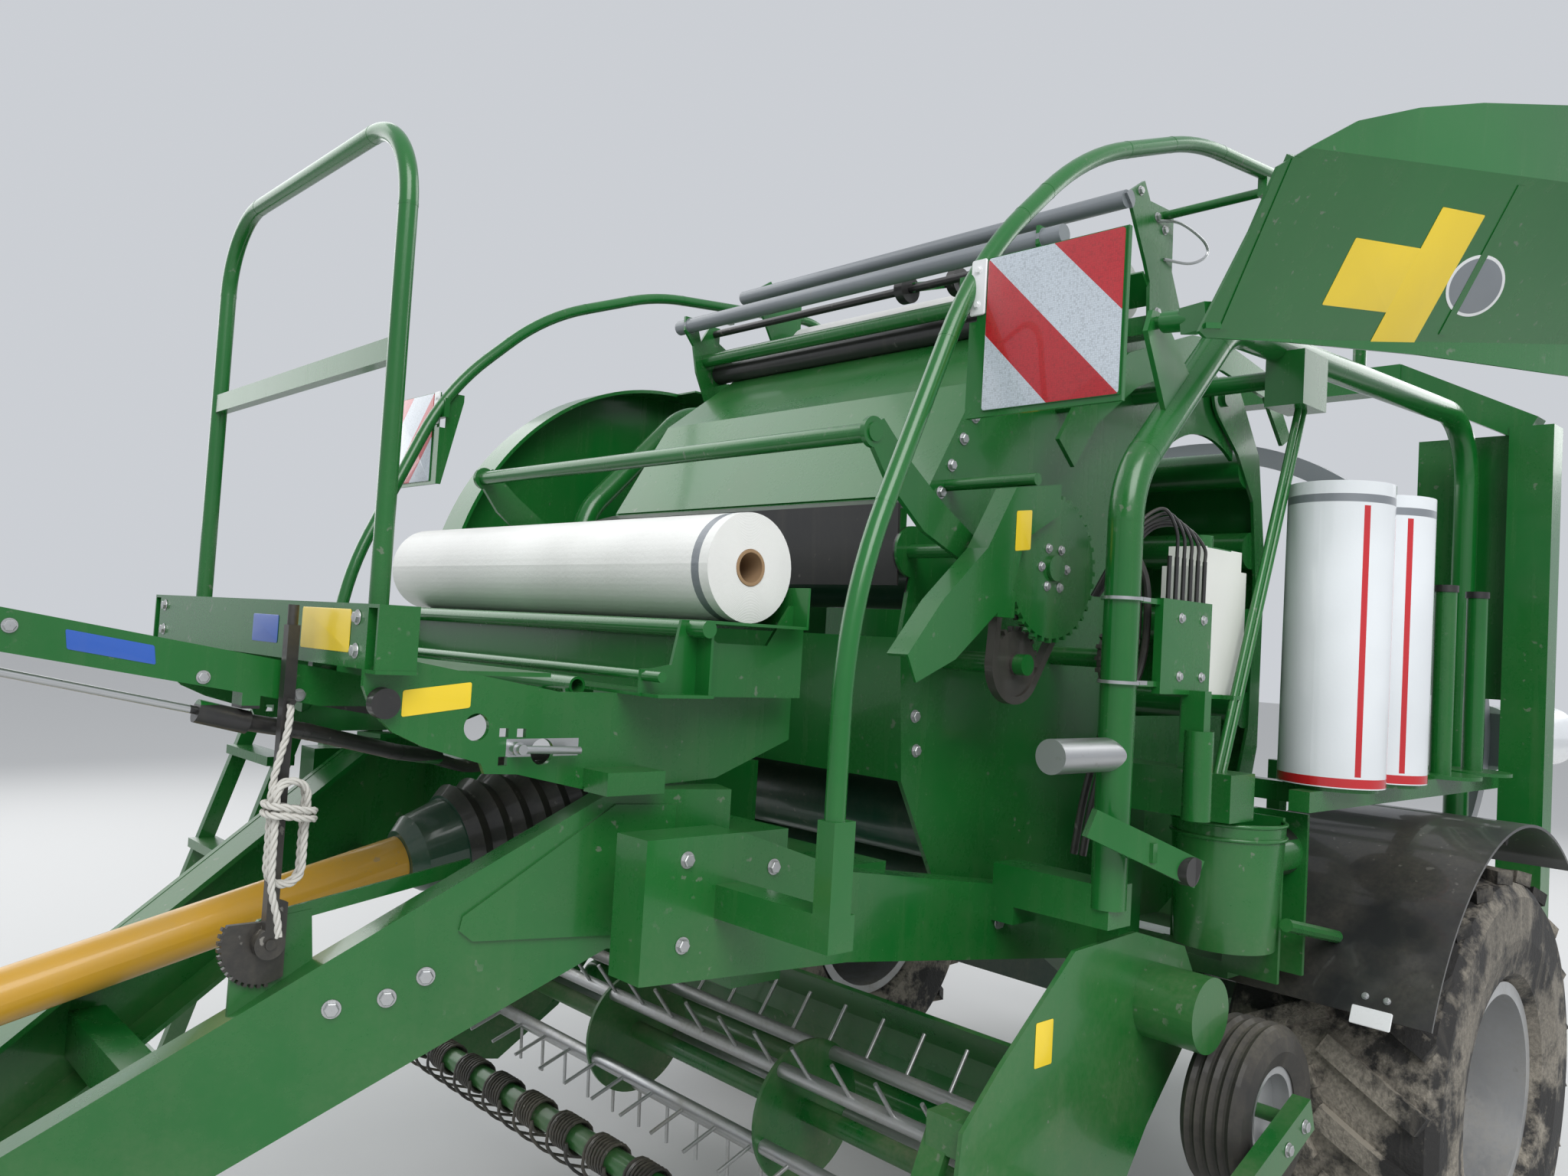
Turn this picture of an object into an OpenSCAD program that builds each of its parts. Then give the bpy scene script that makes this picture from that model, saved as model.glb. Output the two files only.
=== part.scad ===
// Towed round baler with a built-in bale wrapper.
// Layout frame of all modules: X forward from the axle, Y to the left, Z up from the ground.
// The finished part has its origin in the bore of the hitch ring.

/* [Overall] */
// Distance from the axle forward to the hitch ring
hitch_x = 4300; // [4200:10:4500]
// Height of the hitch ring above the ground
hitch_z = 480; // [450:10:520]
// Bore of the hitch ring
hitch_bore = 50; // [40:1:58]

/* [Wheels] */
// Radius of a road tyre over its lugs
tyre_r = 622; // [600:1:640]
// Width of a road tyre
tyre_w = 560; // [500:10:580]
// Distance of the axle behind the layout frame's zero
axle_back = 60; // [40:5:80]
// Distance from the middle plane to the middle of a road wheel
track_y = 1160; // [1150:5:1180]
// Radius of the road wheel's rim at the bead
rim_r = 290; // [270:1:310]
// Radius of the wheel spindle
spindle_r = 40; // [30:1:50]
// Height of the lugs on a road tyre
lug_h = 26; // [15:1:35]
// Lugs in each of the two rows of a road tyre
lug_count = 22; // [16:1:26]

/* [Frame] */
// Distance from the middle plane to a frame rail's inner face
rail_y = 690; // [680:5:720]
// Thickness of a frame rail
rail_t = 90; // [60:5:110]
// Size of the square axle beam
axle_size = 110; // [90:5:130]
// Depth of the drawbar's arms at their rear end
arm_depth = 300; // [240:10:340]
// Plate thickness of the drawbar's arms
arm_t = 12; // [8:1:16]

/* [Chamber] */
// Height of the bale chamber's centre
chamber_z = 1750; // [1700:10:1800]
// Distance of the bale chamber's centre in front of the axle
chamber_x = 750; // [700:10:800]
// Radius of the bale that the chamber forms
bale_r = 620; // [600:5:640]
// Inner width of the bale chamber
chamber_w = 1230; // [1200:5:1250]
// Thickness of the chamber's side walls
wall_t = 12; // [8:1:20]
// Radius of the chamber's rollers
roller_r = 95; // [80:1:105]

/* [Net unit] */
// Radius of the grey tubes on top of the net unit
net_tube_r = 24; // [18:1:30]
// Half the length of the grey tubes
net_tube_half = 760; // [700:10:770]

/* [Front platform] */
// Distance from the middle plane to a post of the handrail
hoop_y = 466; // [420:5:500]
// Height of the handrail above the platform
hoop_h = 870; // [800:10:950]
// Radius of the handrail tube
hoop_r = 17; // [12:1:22]
// Radius of the roll of net film
net_roll_r = 112; // [90:1:116]
// Length of the roll of net film
net_roll_len = 1400; // [1280:10:1420]

/* [Bow tubes and boards] */
// Distance from the middle plane to a bow tube
bow_y = 1050; // [1040:5:1060]
// Radius of the bow tubes
bow_r = 18; // [14:1:22]
// Side of the square marker boards
board = 282; // [282:1:300]

/* [Side frames] */
// Distance from the middle plane to the arched side tube
arch_y = 1060; // [1050:5:1070]
// Radius of the arched side tube
arch_r = 38; // [30:1:44]

/* [Film] */
// Radius of a roll of stretch film
film_r = 125; // [110:1:130]
// Length of a roll of stretch film
film_len = 750; // [700:10:760]
// Distance from the middle plane to the row of spare rolls
film_y = 1195; // [1190:5:1200]
// Height of the rail that carries the spare rolls
film_rail_z = 1480; // [1470:5:1490]

/* [Wrapping unit] */
// Height of the wrapping ring's centre
ring_z = 1560; // [1540:5:1580]
// Distance of the wrapping ring behind the axle
ring_x = 900; // [890:5:920]
// Inner radius of the wrapping ring
ring_in = 1040; // [1030:5:1050]
// Outer radius of the wrapping ring
ring_out = 1110; // [1100:5:1120]
// Radius of the table's rollers
table_roller_r = 100; // [80:1:105]

/* [Pickup] */
// Half the width of the pickup between its side shields
pickup_half = 1040; // [1000:5:1050]
// Radius of the pickup's reel over the tine tips
reel_r = 270; // [240:5:280]
// Tines in each row of the reel
tines_per_row = 16; // [10:1:20]
// Radius of a pickup wheel
gauge_r = 195; // [180:1:200]

/* [Guards] */
// Angle that the left guard door is swung open
door_open = 100; // [90:1:105]
// Height of the left guard door
door_h = 1450; // [1300:10:1500]
// Width of the left guard door's front panel
door_w = 400; // [330:5:410]

/* [Hidden] */
$fn = 48;
axle_z = tyre_r;
axle_x = -axle_back;
axle_top = axle_z + axle_size / 2;
rear_x = -840;
pivot_r = 22;
table_pin_r = 20;
pickup_arm_y = 830;
run_gap = 0.05;  // clearance of a pin in its bore
weld = 3;  // half the length of the weld round a tube where its bend starts
weld_h = 0.4;
seat_gap = 0.3;  // clearance of a piece that is carried but free
wall_y = chamber_w / 2;
wall_out = wall_y + wall_t;
rail_out = rail_y + rail_t;

green = [0.09, 0.40, 0.15];
dark_green = [0.05, 0.22, 0.14];
steel = [0.75, 0.76, 0.78];
grey = [0.50, 0.53, 0.57];
black = [0.06, 0.06, 0.07];
rubber = [0.09, 0.09, 0.09];
yellow = [0.87, 0.62, 0.08];
white = [0.93, 0.94, 0.95];

// Shared shapes

// Moves the layout frame so that the hitch ring's bore is the origin
module home() translate([-hitch_x, 0, -hitch_z]) children();

// Draws the children on both sides of the middle plane
module both() {
    children();
    mirror([0, 1, 0]) children();
}

function unit(v) = v / norm(v);
function side_of(d) = abs(d.z) > 0.9 ? unit(cross([0, 1, 0], d)) : unit(cross(d, [0, 0, 1]));

// Places the children with their X along ex and their Z along ez
module frame_at(o, ex, ez) {
    ey = cross(ez, ex);
    multmatrix([
        [ex.x, ey.x, ez.x, o.x],
        [ex.y, ey.y, ez.y, o.y],
        [ex.z, ey.z, ez.z, o.z],
        [0, 0, 0, 1]
    ]) children();
}

// Round bar from point a to point b
module bar(a, b, r) {
    dir = unit(b - a);
    frame_at(a, side_of(dir), dir) cylinder(h = norm(b - a), r = r);
}

// Rectangular bar from a to b, w across and h along the upright side
module beam(a, b, w, h) {
    dir = unit(b - a);
    up = unit(cross(side_of(dir), dir));
    frame_at(a, dir, up) translate([0, -w / 2, -h / 2]) cube([norm(b - a), w, h]);
}

// Bent tube through the points; bend is one bend radius, or a list with one for each inner point
module tube(points, r, bend) {
    last = len(points) - 1;
    dirs = [for (i = [0 : last - 1]) unit(points[i + 1] - points[i])];
    turns = [for (i = [0 : last]) (i == 0 || i == last) ? 0 : acos(min(1, dirs[i - 1] * dirs[i]))];
    bends = is_list(bend) ? bend : [for (p = points) bend];
    cut = [for (i = [0 : last]) (i == 0 || i == last) ? 0 : bends[i - 1] * tan(turns[i] / 2)];
    for (i = [0 : last - 1]) {
        a = points[i] + dirs[i] * (cut[i] + (i == 0 ? 0 : 0.5));
        b = points[i + 1] - dirs[i] * (cut[i + 1] + (i == last - 1 ? 0 : 0.5));
        bar(a, b, r);
    }
    for (i = [1 : 1 : last - 1]) {
        inward = unit(dirs[i] - dirs[i - 1] * (dirs[i] * dirs[i - 1]));
        enter = points[i] - dirs[i - 1] * cut[i];
        leave = points[i] + dirs[i] * cut[i];
        axis = unit(cross(-inward, dirs[i - 1]));
        frame_at(enter + inward * bends[i - 1], -inward, axis)
            rotate_extrude(angle = turns[i], $fn = 96) translate([bends[i - 1], 0]) circle(r = r, $fn = 32);
        bar(enter - dirs[i - 1] * weld, enter + dirs[i - 1] * weld, r + weld_h);
        bar(leave - dirs[i] * weld, leave + dirs[i] * weld, r + weld_h);
    }
}

// Upright plate across Y from y to y + t, with its outline drawn in X and Z
module plate(y, t) translate([0, y + t, 0]) rotate([90, 0, 0]) linear_extrude(t) children();

// Cylinder along Y from y0 to y1, at x and z
module round_y(x, z, y0, y1, r, r2 = undef) {
    translate([x, y0, z]) rotate([-90, 0, 0]) cylinder(h = y1 - y0, r1 = r, r2 = is_undef(r2) ? r : r2);
}

// Cylinder along X from x0 to x1, at y and z
module round_x(x0, x1, y, z, r) {
    translate([x0, y, z]) rotate([0, 90, 0]) cylinder(h = x1 - x0, r = r);
}

// Road wheels

tyre_half = tyre_w / 2;
bead_y = 226;
tyre_section = [
    [rim_r, -bead_y + 26], [rim_r, -bead_y], [rim_r + 24, -bead_y], [rim_r + 50, -tyre_half * 0.94],
    [tyre_r * 0.70, -tyre_half], [tyre_r - lug_h - 45, -tyre_half * 0.985],
    [tyre_r - lug_h - 12, -tyre_half * 0.90], [tyre_r - lug_h, -tyre_half * 0.60]
];
tyre_inside = [
    [tyre_r - lug_h - 34, -tyre_half * 0.80], [tyre_r - lug_h - 60, -tyre_half * 0.92],
    [tyre_r * 0.70, -tyre_half * 0.93], [rim_r + 56, -tyre_half * 0.85], [rim_r + 30, -bead_y + 26]
];

function inner_side(points) = [for (i = [len(points) - 1 : -1 : 0]) [points[i].x, -points[i].y]];
tyre_inside_back = tyre_inside;
function mirrored(points) = [for (i = [len(points) - 1 : -1 : 0]) [points[i].x, -points[i].y]];

// One tread lug, as a bar laid at an angle over the carcass
module lug(side) {
    translate([tyre_r - lug_h - 14, 0, side * tyre_half * 0.46])
        rotate([side * 28, 0, 0])
            translate([0, -26, -tyre_half * 0.50])
                cube([lug_h + 14, 52, tyre_half]);
}

// Road tyre, turning about Y
module tyre(side) {
    color(rubber)
        translate([axle_x, side * track_y, axle_z]) rotate([90, 0, 0]) {
            rotate_extrude($fn = 96)
                polygon(concat(
                    tyre_section, mirrored(tyre_section), inner_side(tyre_inside), tyre_inside_back
                ));
            intersection() {
                cylinder(h = tyre_w, r = tyre_r, center = true, $fn = 96);
                for (i = [0 : lug_count - 1], row = [-1, 1])
                    rotate([0, 0, (i + row / 4) * 360 / lug_count]) lug(row);
            }
        }
}

// Dished steel rim with its hub, turning about Y
module rim(side) {
    color(steel)
        translate([axle_x, side * track_y, axle_z]) rotate([side * 90, 0, 0]) {
            rotate_extrude($fn = 96) {
                translate([rim_r - 12, -bead_y - 0.5]) square([11.95, 2 * bead_y + 1]);
                for (s = [-1, 1])
                    translate([rim_r - 12, s * (bead_y + 7) - 6.5]) square([34, 13]);
                polygon([
                    [rim_r - 11, -66], [rim_r - 11, -36], [rim_r - 56, -20], [rim_r - 88, 42],
                    [150, 58], [96, 58], [96, 36], [146, 36], [rim_r - 100, 24], [rim_r - 66, -44]
                ]);
                translate([spindle_r + run_gap, -100]) square([60, 196]);
            }
            for (i = [0 : 9])
                rotate([0, 0, i * 36]) translate([122, 0, 16]) cylinder(h = 21, r = 13);
            translate([0, 0, -124]) cylinder(h = 12, r = 84);
            translate([0, 0, -113]) cylinder(h = 14, r = 100);
        }
}

// Plastic mudguards over both tyres, on their brackets
guard_r = 745;
guard_t = 8;
guard_in = 896;
guard_x = -45;
guard_start = 25;
guard_end = 128;
stay_y = 826;
stay_z = 880;
guard_out = 1456;
module mudguards() {
    color(black) both() {
        translate([guard_x, 0, axle_z]) rotate([90, -guard_start, 0]) translate([0, 0, -guard_out])
            rotate_extrude(angle = guard_end - guard_start, $fn = 96)
                translate([guard_r, 0]) square([guard_t, guard_out - guard_in]);
        for (a = [62, 112]) {
            gx = guard_x + (guard_r - 6) * cos(a);
            gz = axle_z + (guard_r - 6) * sin(a);
            tube([
                [gx, rail_out, stay_z], [gx, stay_y, stay_z], [gx, stay_y, gz - 14],
                [gx, guard_out - 120, gz - 14]
            ], 14, 24);
            translate([gx - 20, guard_in + 10, gz - 14]) cube([40, 200, 18]);
        }
    }
}

// Frame, axle and drawbar

rail_outline = [
    [2420, 1400], [2420, 1150], [1900, 1120], [1120, 1020], [870, 860], [860, 730], [740, 730],
    [720, 800], [-840, 740], [-840, 900], [640, 960], [1020, 1170], [1900, 1300], [2200, 1400]
];

module main_frame() {
    color(green) {
        both() {
            difference() {
                plate(rail_y, rail_t) polygon(rail_outline);
                translate([axle_x - axle_size / 2, rail_y - 1, 0]) cube([axle_size, rail_t + 2, axle_top]);
            }
            translate([axle_x - 150, rail_y, axle_top]) cube([300, rail_t, 110]);
            translate([rear_x, rail_y, 760]) cube([100, portal_y - rail_y, 120]);
            round_y(pivot_x, pivot_z, rail_out, pickup_arm_y + 34, pivot_r);
        }
        translate([rear_x, -rail_y - 1, 760]) cube([100, 2 * rail_y + 2, 120]);
        translate([100, -rail_y - 1, 800]) cube([100, 2 * rail_y + 2, 110]);
        translate([1700, -rail_y - 1, 1180]) cube([140, 2 * rail_y + 2, 110]);
        translate([1640, -190, 1120]) cube([270, 380, 330]);
        frame_at(bellows_end + pto_dir * run_gap, [pto_dir.z, 0, -pto_dir.x], pto_dir) cylinder(h = 200, r = 60);
        translate([table_x - 60, -180, 640]) cube([rear_x + 60 - table_x + 10, 360, 60]);
        translate([rear_x, -180, 640]) cube([80, 360, 121]);
        difference() {
            translate([table_x - 50, -180, 690]) cube([100, 360, 90]);
            round_y(table_x, table_z, -181, 181, table_pin_r - 5);
        }
        round_y(table_x, table_z, -264, 264, table_pin_r);
    }
}

module axle() {
    color(dark_green) {
        translate([axle_x - axle_size / 2, -860, axle_z - axle_size / 2]) cube([axle_size, 1720, axle_size]);
        both() {
            translate([axle_x - axle_size / 2 - 20, 850, axle_z - axle_size / 2 - 20])
                cube([axle_size + 40, 30, axle_size + 40]);
            round_y(axle_x, axle_z, 875, track_y + 96, spindle_r);
        }
    }
}

arm_rear = [2400, 550, 1420];
arm_front = [3750, 75, 555];
arm_len = norm([arm_front.x - arm_rear.x, arm_front.y - arm_rear.y]);
arm_drop = arm_rear.z - arm_front.z;
arm_dir = unit([arm_front.x - arm_rear.x, arm_front.y - arm_rear.y, 0]);
nose_depth = 190;
arm_tail = 295;
flange_w = 85;

// One drawbar arm as a folded channel that is open to the middle
module drawbar_arm() {
    slope = atan2(arm_drop, arm_len);
    frame_at(arm_rear, arm_dir, [0, 0, 1]) {
        plate(-arm_t, arm_t)
            polygon([
                [-arm_tail, 38], [-60, 38], [arm_len, -arm_drop], [arm_len, -arm_drop - nose_depth],
                [-60, -arm_depth + 38], [-arm_tail, -arm_depth + 38]
            ]);
        rotate([0, slope, 0])
            translate([-60, -flange_w, -arm_t]) cube([norm([arm_len, arm_drop]) + 50, flange_w, arm_t]);
        translate([-arm_tail, -flange_w + 1.5, 38 - arm_t]) cube([arm_tail - 38, flange_w - 1.5, arm_t]);
        low_slope = atan2(arm_drop + nose_depth - arm_depth + 38, arm_len + 60);
        translate([-60, 0, -arm_depth + 38]) rotate([0, low_slope, 0])
            translate([0, -flange_w, 0]) cube([norm([arm_len, arm_drop]) + 20, flange_w, arm_t]);
    }
}

module drawbar() {
    color(green) {
        both() drawbar_arm();
        difference() {
            translate([2000, -rail_y, 1080]) cube([130, 2 * rail_y, 300]);
            translate([1999, -170, 1150]) cube([132, 340, 290]);
        }
        both() frame_at(arm_rear, arm_dir, [0, 0, 1])
            plate(-1, 9) polygon([
                [-180, 10], [-60, 10], [210, -190], [215, -215], [190, -235], [-60, -235], [-180, -235]
            ]);
        plate(lever_y - 32, 10)
            polygon([[2810, 1235], [2900, 1225], [2940, 1170], [2940, 1050], [2800, 1120]]);
        beam([2866, lever_y - 27, 1226], [2505, lever_y - 27, 1285], 7, 26);
        translate([3560, -110, 375]) cube([540, 220, 205]);
        translate([2960, -324, 830]) cube([70, 648, 90]);
        translate([4080, -75, 400]) cube([60, 150, 160]);
    }
}

ring_h = 40;
module hitch_ring() {
    color(green) {
        difference() {
            union() {
                translate([hitch_x, 0, hitch_z - ring_h / 2]) cylinder(h = ring_h, r = hitch_bore / 2 + 34);
                translate([4140, -45, hitch_z - ring_h / 2]) cube([hitch_x - 4140 - 30, 90, ring_h]);
            }
            translate([hitch_x, 0, hitch_z - ring_h]) cylinder(h = 2 * ring_h, r = hitch_bore / 2);
        }
    }
}

jack_x = 3900;
jack_y = 185;
jack_r = 38;
leg_r = 30;
module jack_tube() {
    color(green) {
        difference() {
            union() {
                translate([jack_x, jack_y, 330]) cylinder(h = 600, r = jack_r);
                translate([jack_x - 50, 110, 400]) cube([100, jack_y - 110, 160]);
            }
            translate([jack_x, jack_y, 329]) cylinder(h = 580, r = leg_r + 0.1);
        }
        translate([jack_x, jack_y, 929]) cylinder(h = 40, r = 20);
        bar([jack_x, jack_y, 955], [jack_x, jack_y + 150, 955], 9);
    }
}

module jack_leg() {
    color(steel) {
        translate([jack_x, jack_y, 8]) cylinder(h = 552, r = leg_r);
        translate([jack_x, jack_y, 0]) cylinder(h = 10, r = 105);
    }
}

// Drive line

pto_low = [4075, 0, 842];
pto_high = [2450, 0, 1252];
pto_dir = unit(pto_high - pto_low);
bellows_start = pto_high + pto_dir * 70;
bellows_end = bellows_start + pto_dir * 312;
module drive_shaft() {
    dir = pto_dir;
    color(yellow) bar(pto_low, pto_high, 48);
    color(dark_green) frame_at(pto_high - dir * 45, side_of(dir), dir) {
        cylinder(h = 30, r1 = 60, r2 = 84);
        translate([0, 0, 30]) cylinder(h = 90, r1 = 84, r2 = 98);
    }
    color(black) {
        frame_at(bellows_start, side_of(dir), dir) rotate_extrude()
            polygon(concat([[0, 0]], [for (i = [0 : 12]) [(i % 2 == 0) ? 104 : 122, i * 26]], [[0, 312]]));
        frame_at(pto_low - dir * 90, side_of(dir), dir) cylinder(h = 120, r1 = 82, r2 = 60);
    }
    color(steel) bar(pto_low - dir * 160, pto_low - dir * 80, 34);
    color(green) {
        translate([3985, -14, 580]) cube([30, 28, 236]);
        translate([3985, -60, 795]) cube([30, 120, 20]);
    }
}

// Hose arm, parking brake and its cord

hose_y = 300;
hose_rear = [2700, hose_y, 1607];
hose_front = [3900, hose_y, 1801];
module hose_arm() {
    color(green) {
        beam(hose_rear, hose_front, 50, 66);
        translate([2790, hose_y - 10, 1630]) cube([44, 20, beam_low - 1630]);
        for (t = [0.2, 0.9]) translate(hose_rear + (hose_front - hose_rear) * t - [15, 25, 58]) cube([30, 50, 40]);
    }
    color(steel) bar([3790, hose_y, 1738], [3010, hose_y, 1581], 7);
    color(black) {
        bar([3020, hose_y, 1582], [2935, hose_y, 1562], 20);
        tube([
            [2945, hose_y, 1564], [2830, hose_y - 10, 1545], [2640, hose_y - 50, 1500], [2520, hose_y - 110, 1480]
        ], 15, 90);
    }
}

lever_x = 2890;
lever_y = 352;
lever_z = 1190;
lever_pin_r = 9;
sector_r = 72;
module brake_sector() {
    color(black) {
        plate(lever_y - 22, 10) difference() {
            union() {
                translate([lever_x, lever_z]) circle(r = sector_r);
                for (i = [0 : 13]) rotate_tooth(i);
            }
            translate([lever_x - 100, lever_z - 100]) square([66, 200]);
            translate([lever_x + 6, lever_z + 34]) square([100, 60]);
        }
        round_y(lever_x, lever_z, lever_y - 22, lever_y + 14, lever_pin_r);
    }
}
module rotate_tooth(i) {
    translate([lever_x, lever_z]) rotate(22 - i * 9) translate([sector_r - 4, -3]) square([10, 6]);
}

module brake_lever() {
    color(black) {
        difference() {
            plate(lever_y - 11.7, 22) union() {
                translate([lever_x - 10, lever_z]) square([20, 545]);
                translate([lever_x, lever_z]) circle(r = 26);
            }
            round_y(lever_x, lever_z, lever_y - 30, lever_y + 30, lever_pin_r + run_gap);
        }
        translate([lever_x, lever_y - 0.7, lever_z + 544]) cylinder(h = 36, r = 9);
        round_y(lever_x, 1604, lever_y + 10, lever_y + 30, 5);
    }
}

// Cord of the breakaway brake, hung in a hank on its peg
cord_d = 13;
cord_points = [
    [2890, 372, 1598.9], [2890, 372, 1580], [2888, 380, 1552], [2886, 389, 1520], [2886, 391, 1496],
    [2886, 391, 1478]
];
function ring_of(i) = let(
        a = cord_points[max(i - 1, 0)],
        b = cord_points[min(i + 1, len(cord_points) - 1)],
        d = unit(b - a), s = unit(cross(d, [0, 1, 0])), t = cross(s, d)
    ) [for (k = [0 : 9]) cord_points[i] + cord_d / 2 * (s * cos(k * 36) + t * sin(k * 36))];
module cord_run() {
    count = len(cord_points);
    color(white) polyhedron(
        points = [for (i = [0 : count - 1], p = ring_of(i)) p],
        faces = concat(
            [[for (k = [9 : -1 : 0]) k]],
            [[for (k = [0 : 9]) (count - 1) * 10 + k]],
            [for (i = [0 : count - 2], k = [0 : 9])
                [i * 10 + k, i * 10 + (k + 1) % 10, (i + 1) * 10 + (k + 1) % 10, (i + 1) * 10 + k]]
        ));
}
hank_w = 66;
hank_low = 1290;
hank_top = 1478;
module cord_hank() {
    color(white) plate(374, 34) {
        translate([2886 - hank_w / 2, hank_low + hank_w / 2]) square([hank_w, hank_top - hank_low - hank_w]);
        translate([2886, hank_low + hank_w / 2]) circle(r = hank_w / 2);
        translate([2886 - hank_w / 2, hank_top - hank_w / 2 - 1]) square([hank_w, hank_w / 2 + 1]);
    }
}

// Front platform with its ladder, and the handrail

deck_z = 1778;
deck_x = 2790;
beam_front = 2852;
beam_low = 1672;
cradle_z = 1640;
side_plate = [
    [beam_front, deck_z], [2782, deck_z], [2782, 1690], [2480, cradle_z], [1900, cradle_z], [1900, 1545],
    [2100, 1470], [2310, 1459], [2420, 1461], [2560, 1493], [2624, 1496], [2632, 1514], [2741, 1545],
    [2797, 1570], [2834, 1604], [beam_front, 1645]
];
module platform() {
    color(green) {
        difference() {
            translate([deck_x - 8, -570, beam_low]) cube([70, 1140, deck_z - beam_low]);
            translate([deck_x - 9, -540, beam_low - 1]) cube([62, 1080, deck_z - beam_low - 7]);
        }
        translate([2500, -565, deck_z - 112]) cube([290, 1130, 8]);
        both() plate(560, 10) difference() {
            polygon(side_plate);
            for (p = [[2645, 1577], [2511, 1532]]) translate(p) circle(r = 24);
            for (p = [[2591, 1567], [2556, 1566], [2590, 1517]]) translate(p - [9, 8]) square([18, 16]);
        }
        both() {
            translate([2290, 575, 1458]) cube([130, 75, 42]);
            translate([2290, 560, 1466]) cube([130, 90, 34]);
            translate([deck_x - 8, 560, beam_low - 6]) cube([70, 52, 6]);
            translate([deck_x - 8, 604, beam_low - 6]) cube([70, 6, deck_z - beam_low + 6]);
            translate([deck_x - 8, 560, deck_z - 6]) cube([70, 50, 6]);
        }
        for (y = [-1000, -690]) beam([2440, y, 1560], [2760, y, 560], 40, 24);
        for (i = [0 : 3])
            translate([2470 + 80 * i, -1000, 1357 - 250 * i]) cube([70, 310, 24]);
        translate([2400, -1000, 1500]) cube([110, 435, 40]);
    }
    color(steel) {
        round_y(2570, 1540, 569, 590, 12);
        bar([2572, 596, 1540], [2448, 596, 1536], 7);
        round_y(2570, 1540, 584, 604, 9);
    }
    color(black) both() round_y(2820, 1618, 569, 590, 25);
}

module handrail() {
    color(green) {
        tube([
            [deck_x, hoop_y, deck_z], [deck_x, hoop_y, deck_z + hoop_h],
            [deck_x, -hoop_y, deck_z + hoop_h], [deck_x, -hoop_y, deck_z]
        ], hoop_r, 170);
        translate([deck_x - 12, -hoop_y, deck_z + 425]) cube([24, 2 * hoop_y, 40]);
    }
}

// Net film: cradle, roll and the arm that lifts it in

net_x = 2100;
net_z = 1900;
net_end = 640;
tray_z = net_z - net_roll_r - seat_gap;
lip_x = 2245;
lip_r = 17;
module net_cradle() {
    color(green) {
        round_y(lip_x, tray_z - lip_r, -700, 700, lip_r);
        plate(-690, 1380) polygon([
            [lip_x - 4, tray_z], [net_x - 118, tray_z], [net_x - 118, tray_z + 80],
            [net_x - 124, tray_z + 80], [net_x - 124, tray_z - 6], [lip_x - 4, tray_z - 6]
        ]);
        translate([2225, -690, 1640]) cube([6, 1380, tray_z - 1640 - 3]);
        round_y(2350, 1678, -700, 700, 10);
        translate([2225, -700, cradle_z]) cube([132, 1400, 6]);
        plate(-300, 700) polygon([[2402, 1636], [2470, 1624], [2470, 1630], [2402, 1642]]);
        both() plate(640, 8) polygon([
            [2360, cradle_z], [2360, 1690], [2330, 1692], [2290, 1700], [2272, 1786], [2255, 1786],
            [2180, 1745], [2050, 1745], [1990, 1830], [1950, 1830], [1950, cradle_z]
        ]);
        both() translate([1950, 560, cradle_z]) cube([60, 88, 60]);
        for (y = [-530, 440]) translate([2350, y, 1640]) cube([44, 20, 6]);
    }
    color(green) difference() {
        union() {
            round_y(2400, 1648, -556, 500, 18);
            plate(488, 9) polygon([
                [2425, 1642], [2414, 1600], [2360, 1560], [2250, 1545], [2250, 1580], [2340, 1592],
                [2385, 1626], [2380, 1648]
            ]);
        }
        round_y(2400, 1648, 465, 501, 13);
    }
}

module net_roll() {
    color(white) {
        difference() {
            round_y(net_x, net_z, net_end - net_roll_len, net_end, net_roll_r);
            round_y(net_x, net_z, -net_roll_len, net_roll_len, 38);
        }
        difference() {
            round_y(active_x, active_z, -640, 640, 84);
            round_y(active_x, active_z, -641, 641, 30 + seat_gap);
        }
    }
}
active_x = 770;
active_z = 2800;

loader_x = 1600;
loader_z = 1980;
loader_y = 795;
loader_pin_r = 16;
module roll_loader() {
    color(green) {
        round_y(1930, 2190, -loader_y - 10, loader_y + 10, 20);
        both() difference() {
            plate(loader_y - 6, 12) union() {
                polygon([
                    [1590, 2012], [1700, 2070], [1820, 2150], [1905, 2222], [1955, 2190], [1880, 2095],
                    [1760, 2005], [1615, 1950]
                ]);
                translate([loader_x, loader_z]) circle(r = 35);
                translate([1930, 2190]) circle(r = 32);
            }
            round_y(loader_x, loader_z, loader_y - 20, loader_y + 20, loader_pin_r + run_gap);
        }
    }
}

// Bow tubes and marker boards

board_x = 1950;
board_z = 2196;
board_y = 1092;
bow_foot = [160, 2625];
module bow_tube() {
    tube([
        [2240, bow_y, 1460], [2240, bow_y, 1830], [1942, bow_y, 2490], [1609, bow_y, 2800],
        [1155, bow_y, 2980], [bow_foot.x, bow_y, 3090], [bow_foot.x, bow_y, bow_foot.y]
    ], bow_r, [900, 900, 900, 900, 240]);
}

module bow_tubes() {
    color(green) both() {
        difference() {
            bow_tube();
            arch();
        }
        translate([788, bow_y - 12, 2958]) cube([24, 24, 60]);
        translate([2200, rail_out, 1250]) cube([60, bow_y + 20 - rail_out, 60]);
        translate([2210, bow_y - 20, 1250]) cube([50, 40, 215]);
    }
    color(green) {
        round_y(800, 2970, net_near + 10, bow_y, 12);
        round_y(800, 2970, -bow_y, -net_far - 10, 12);
    }
}

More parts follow.
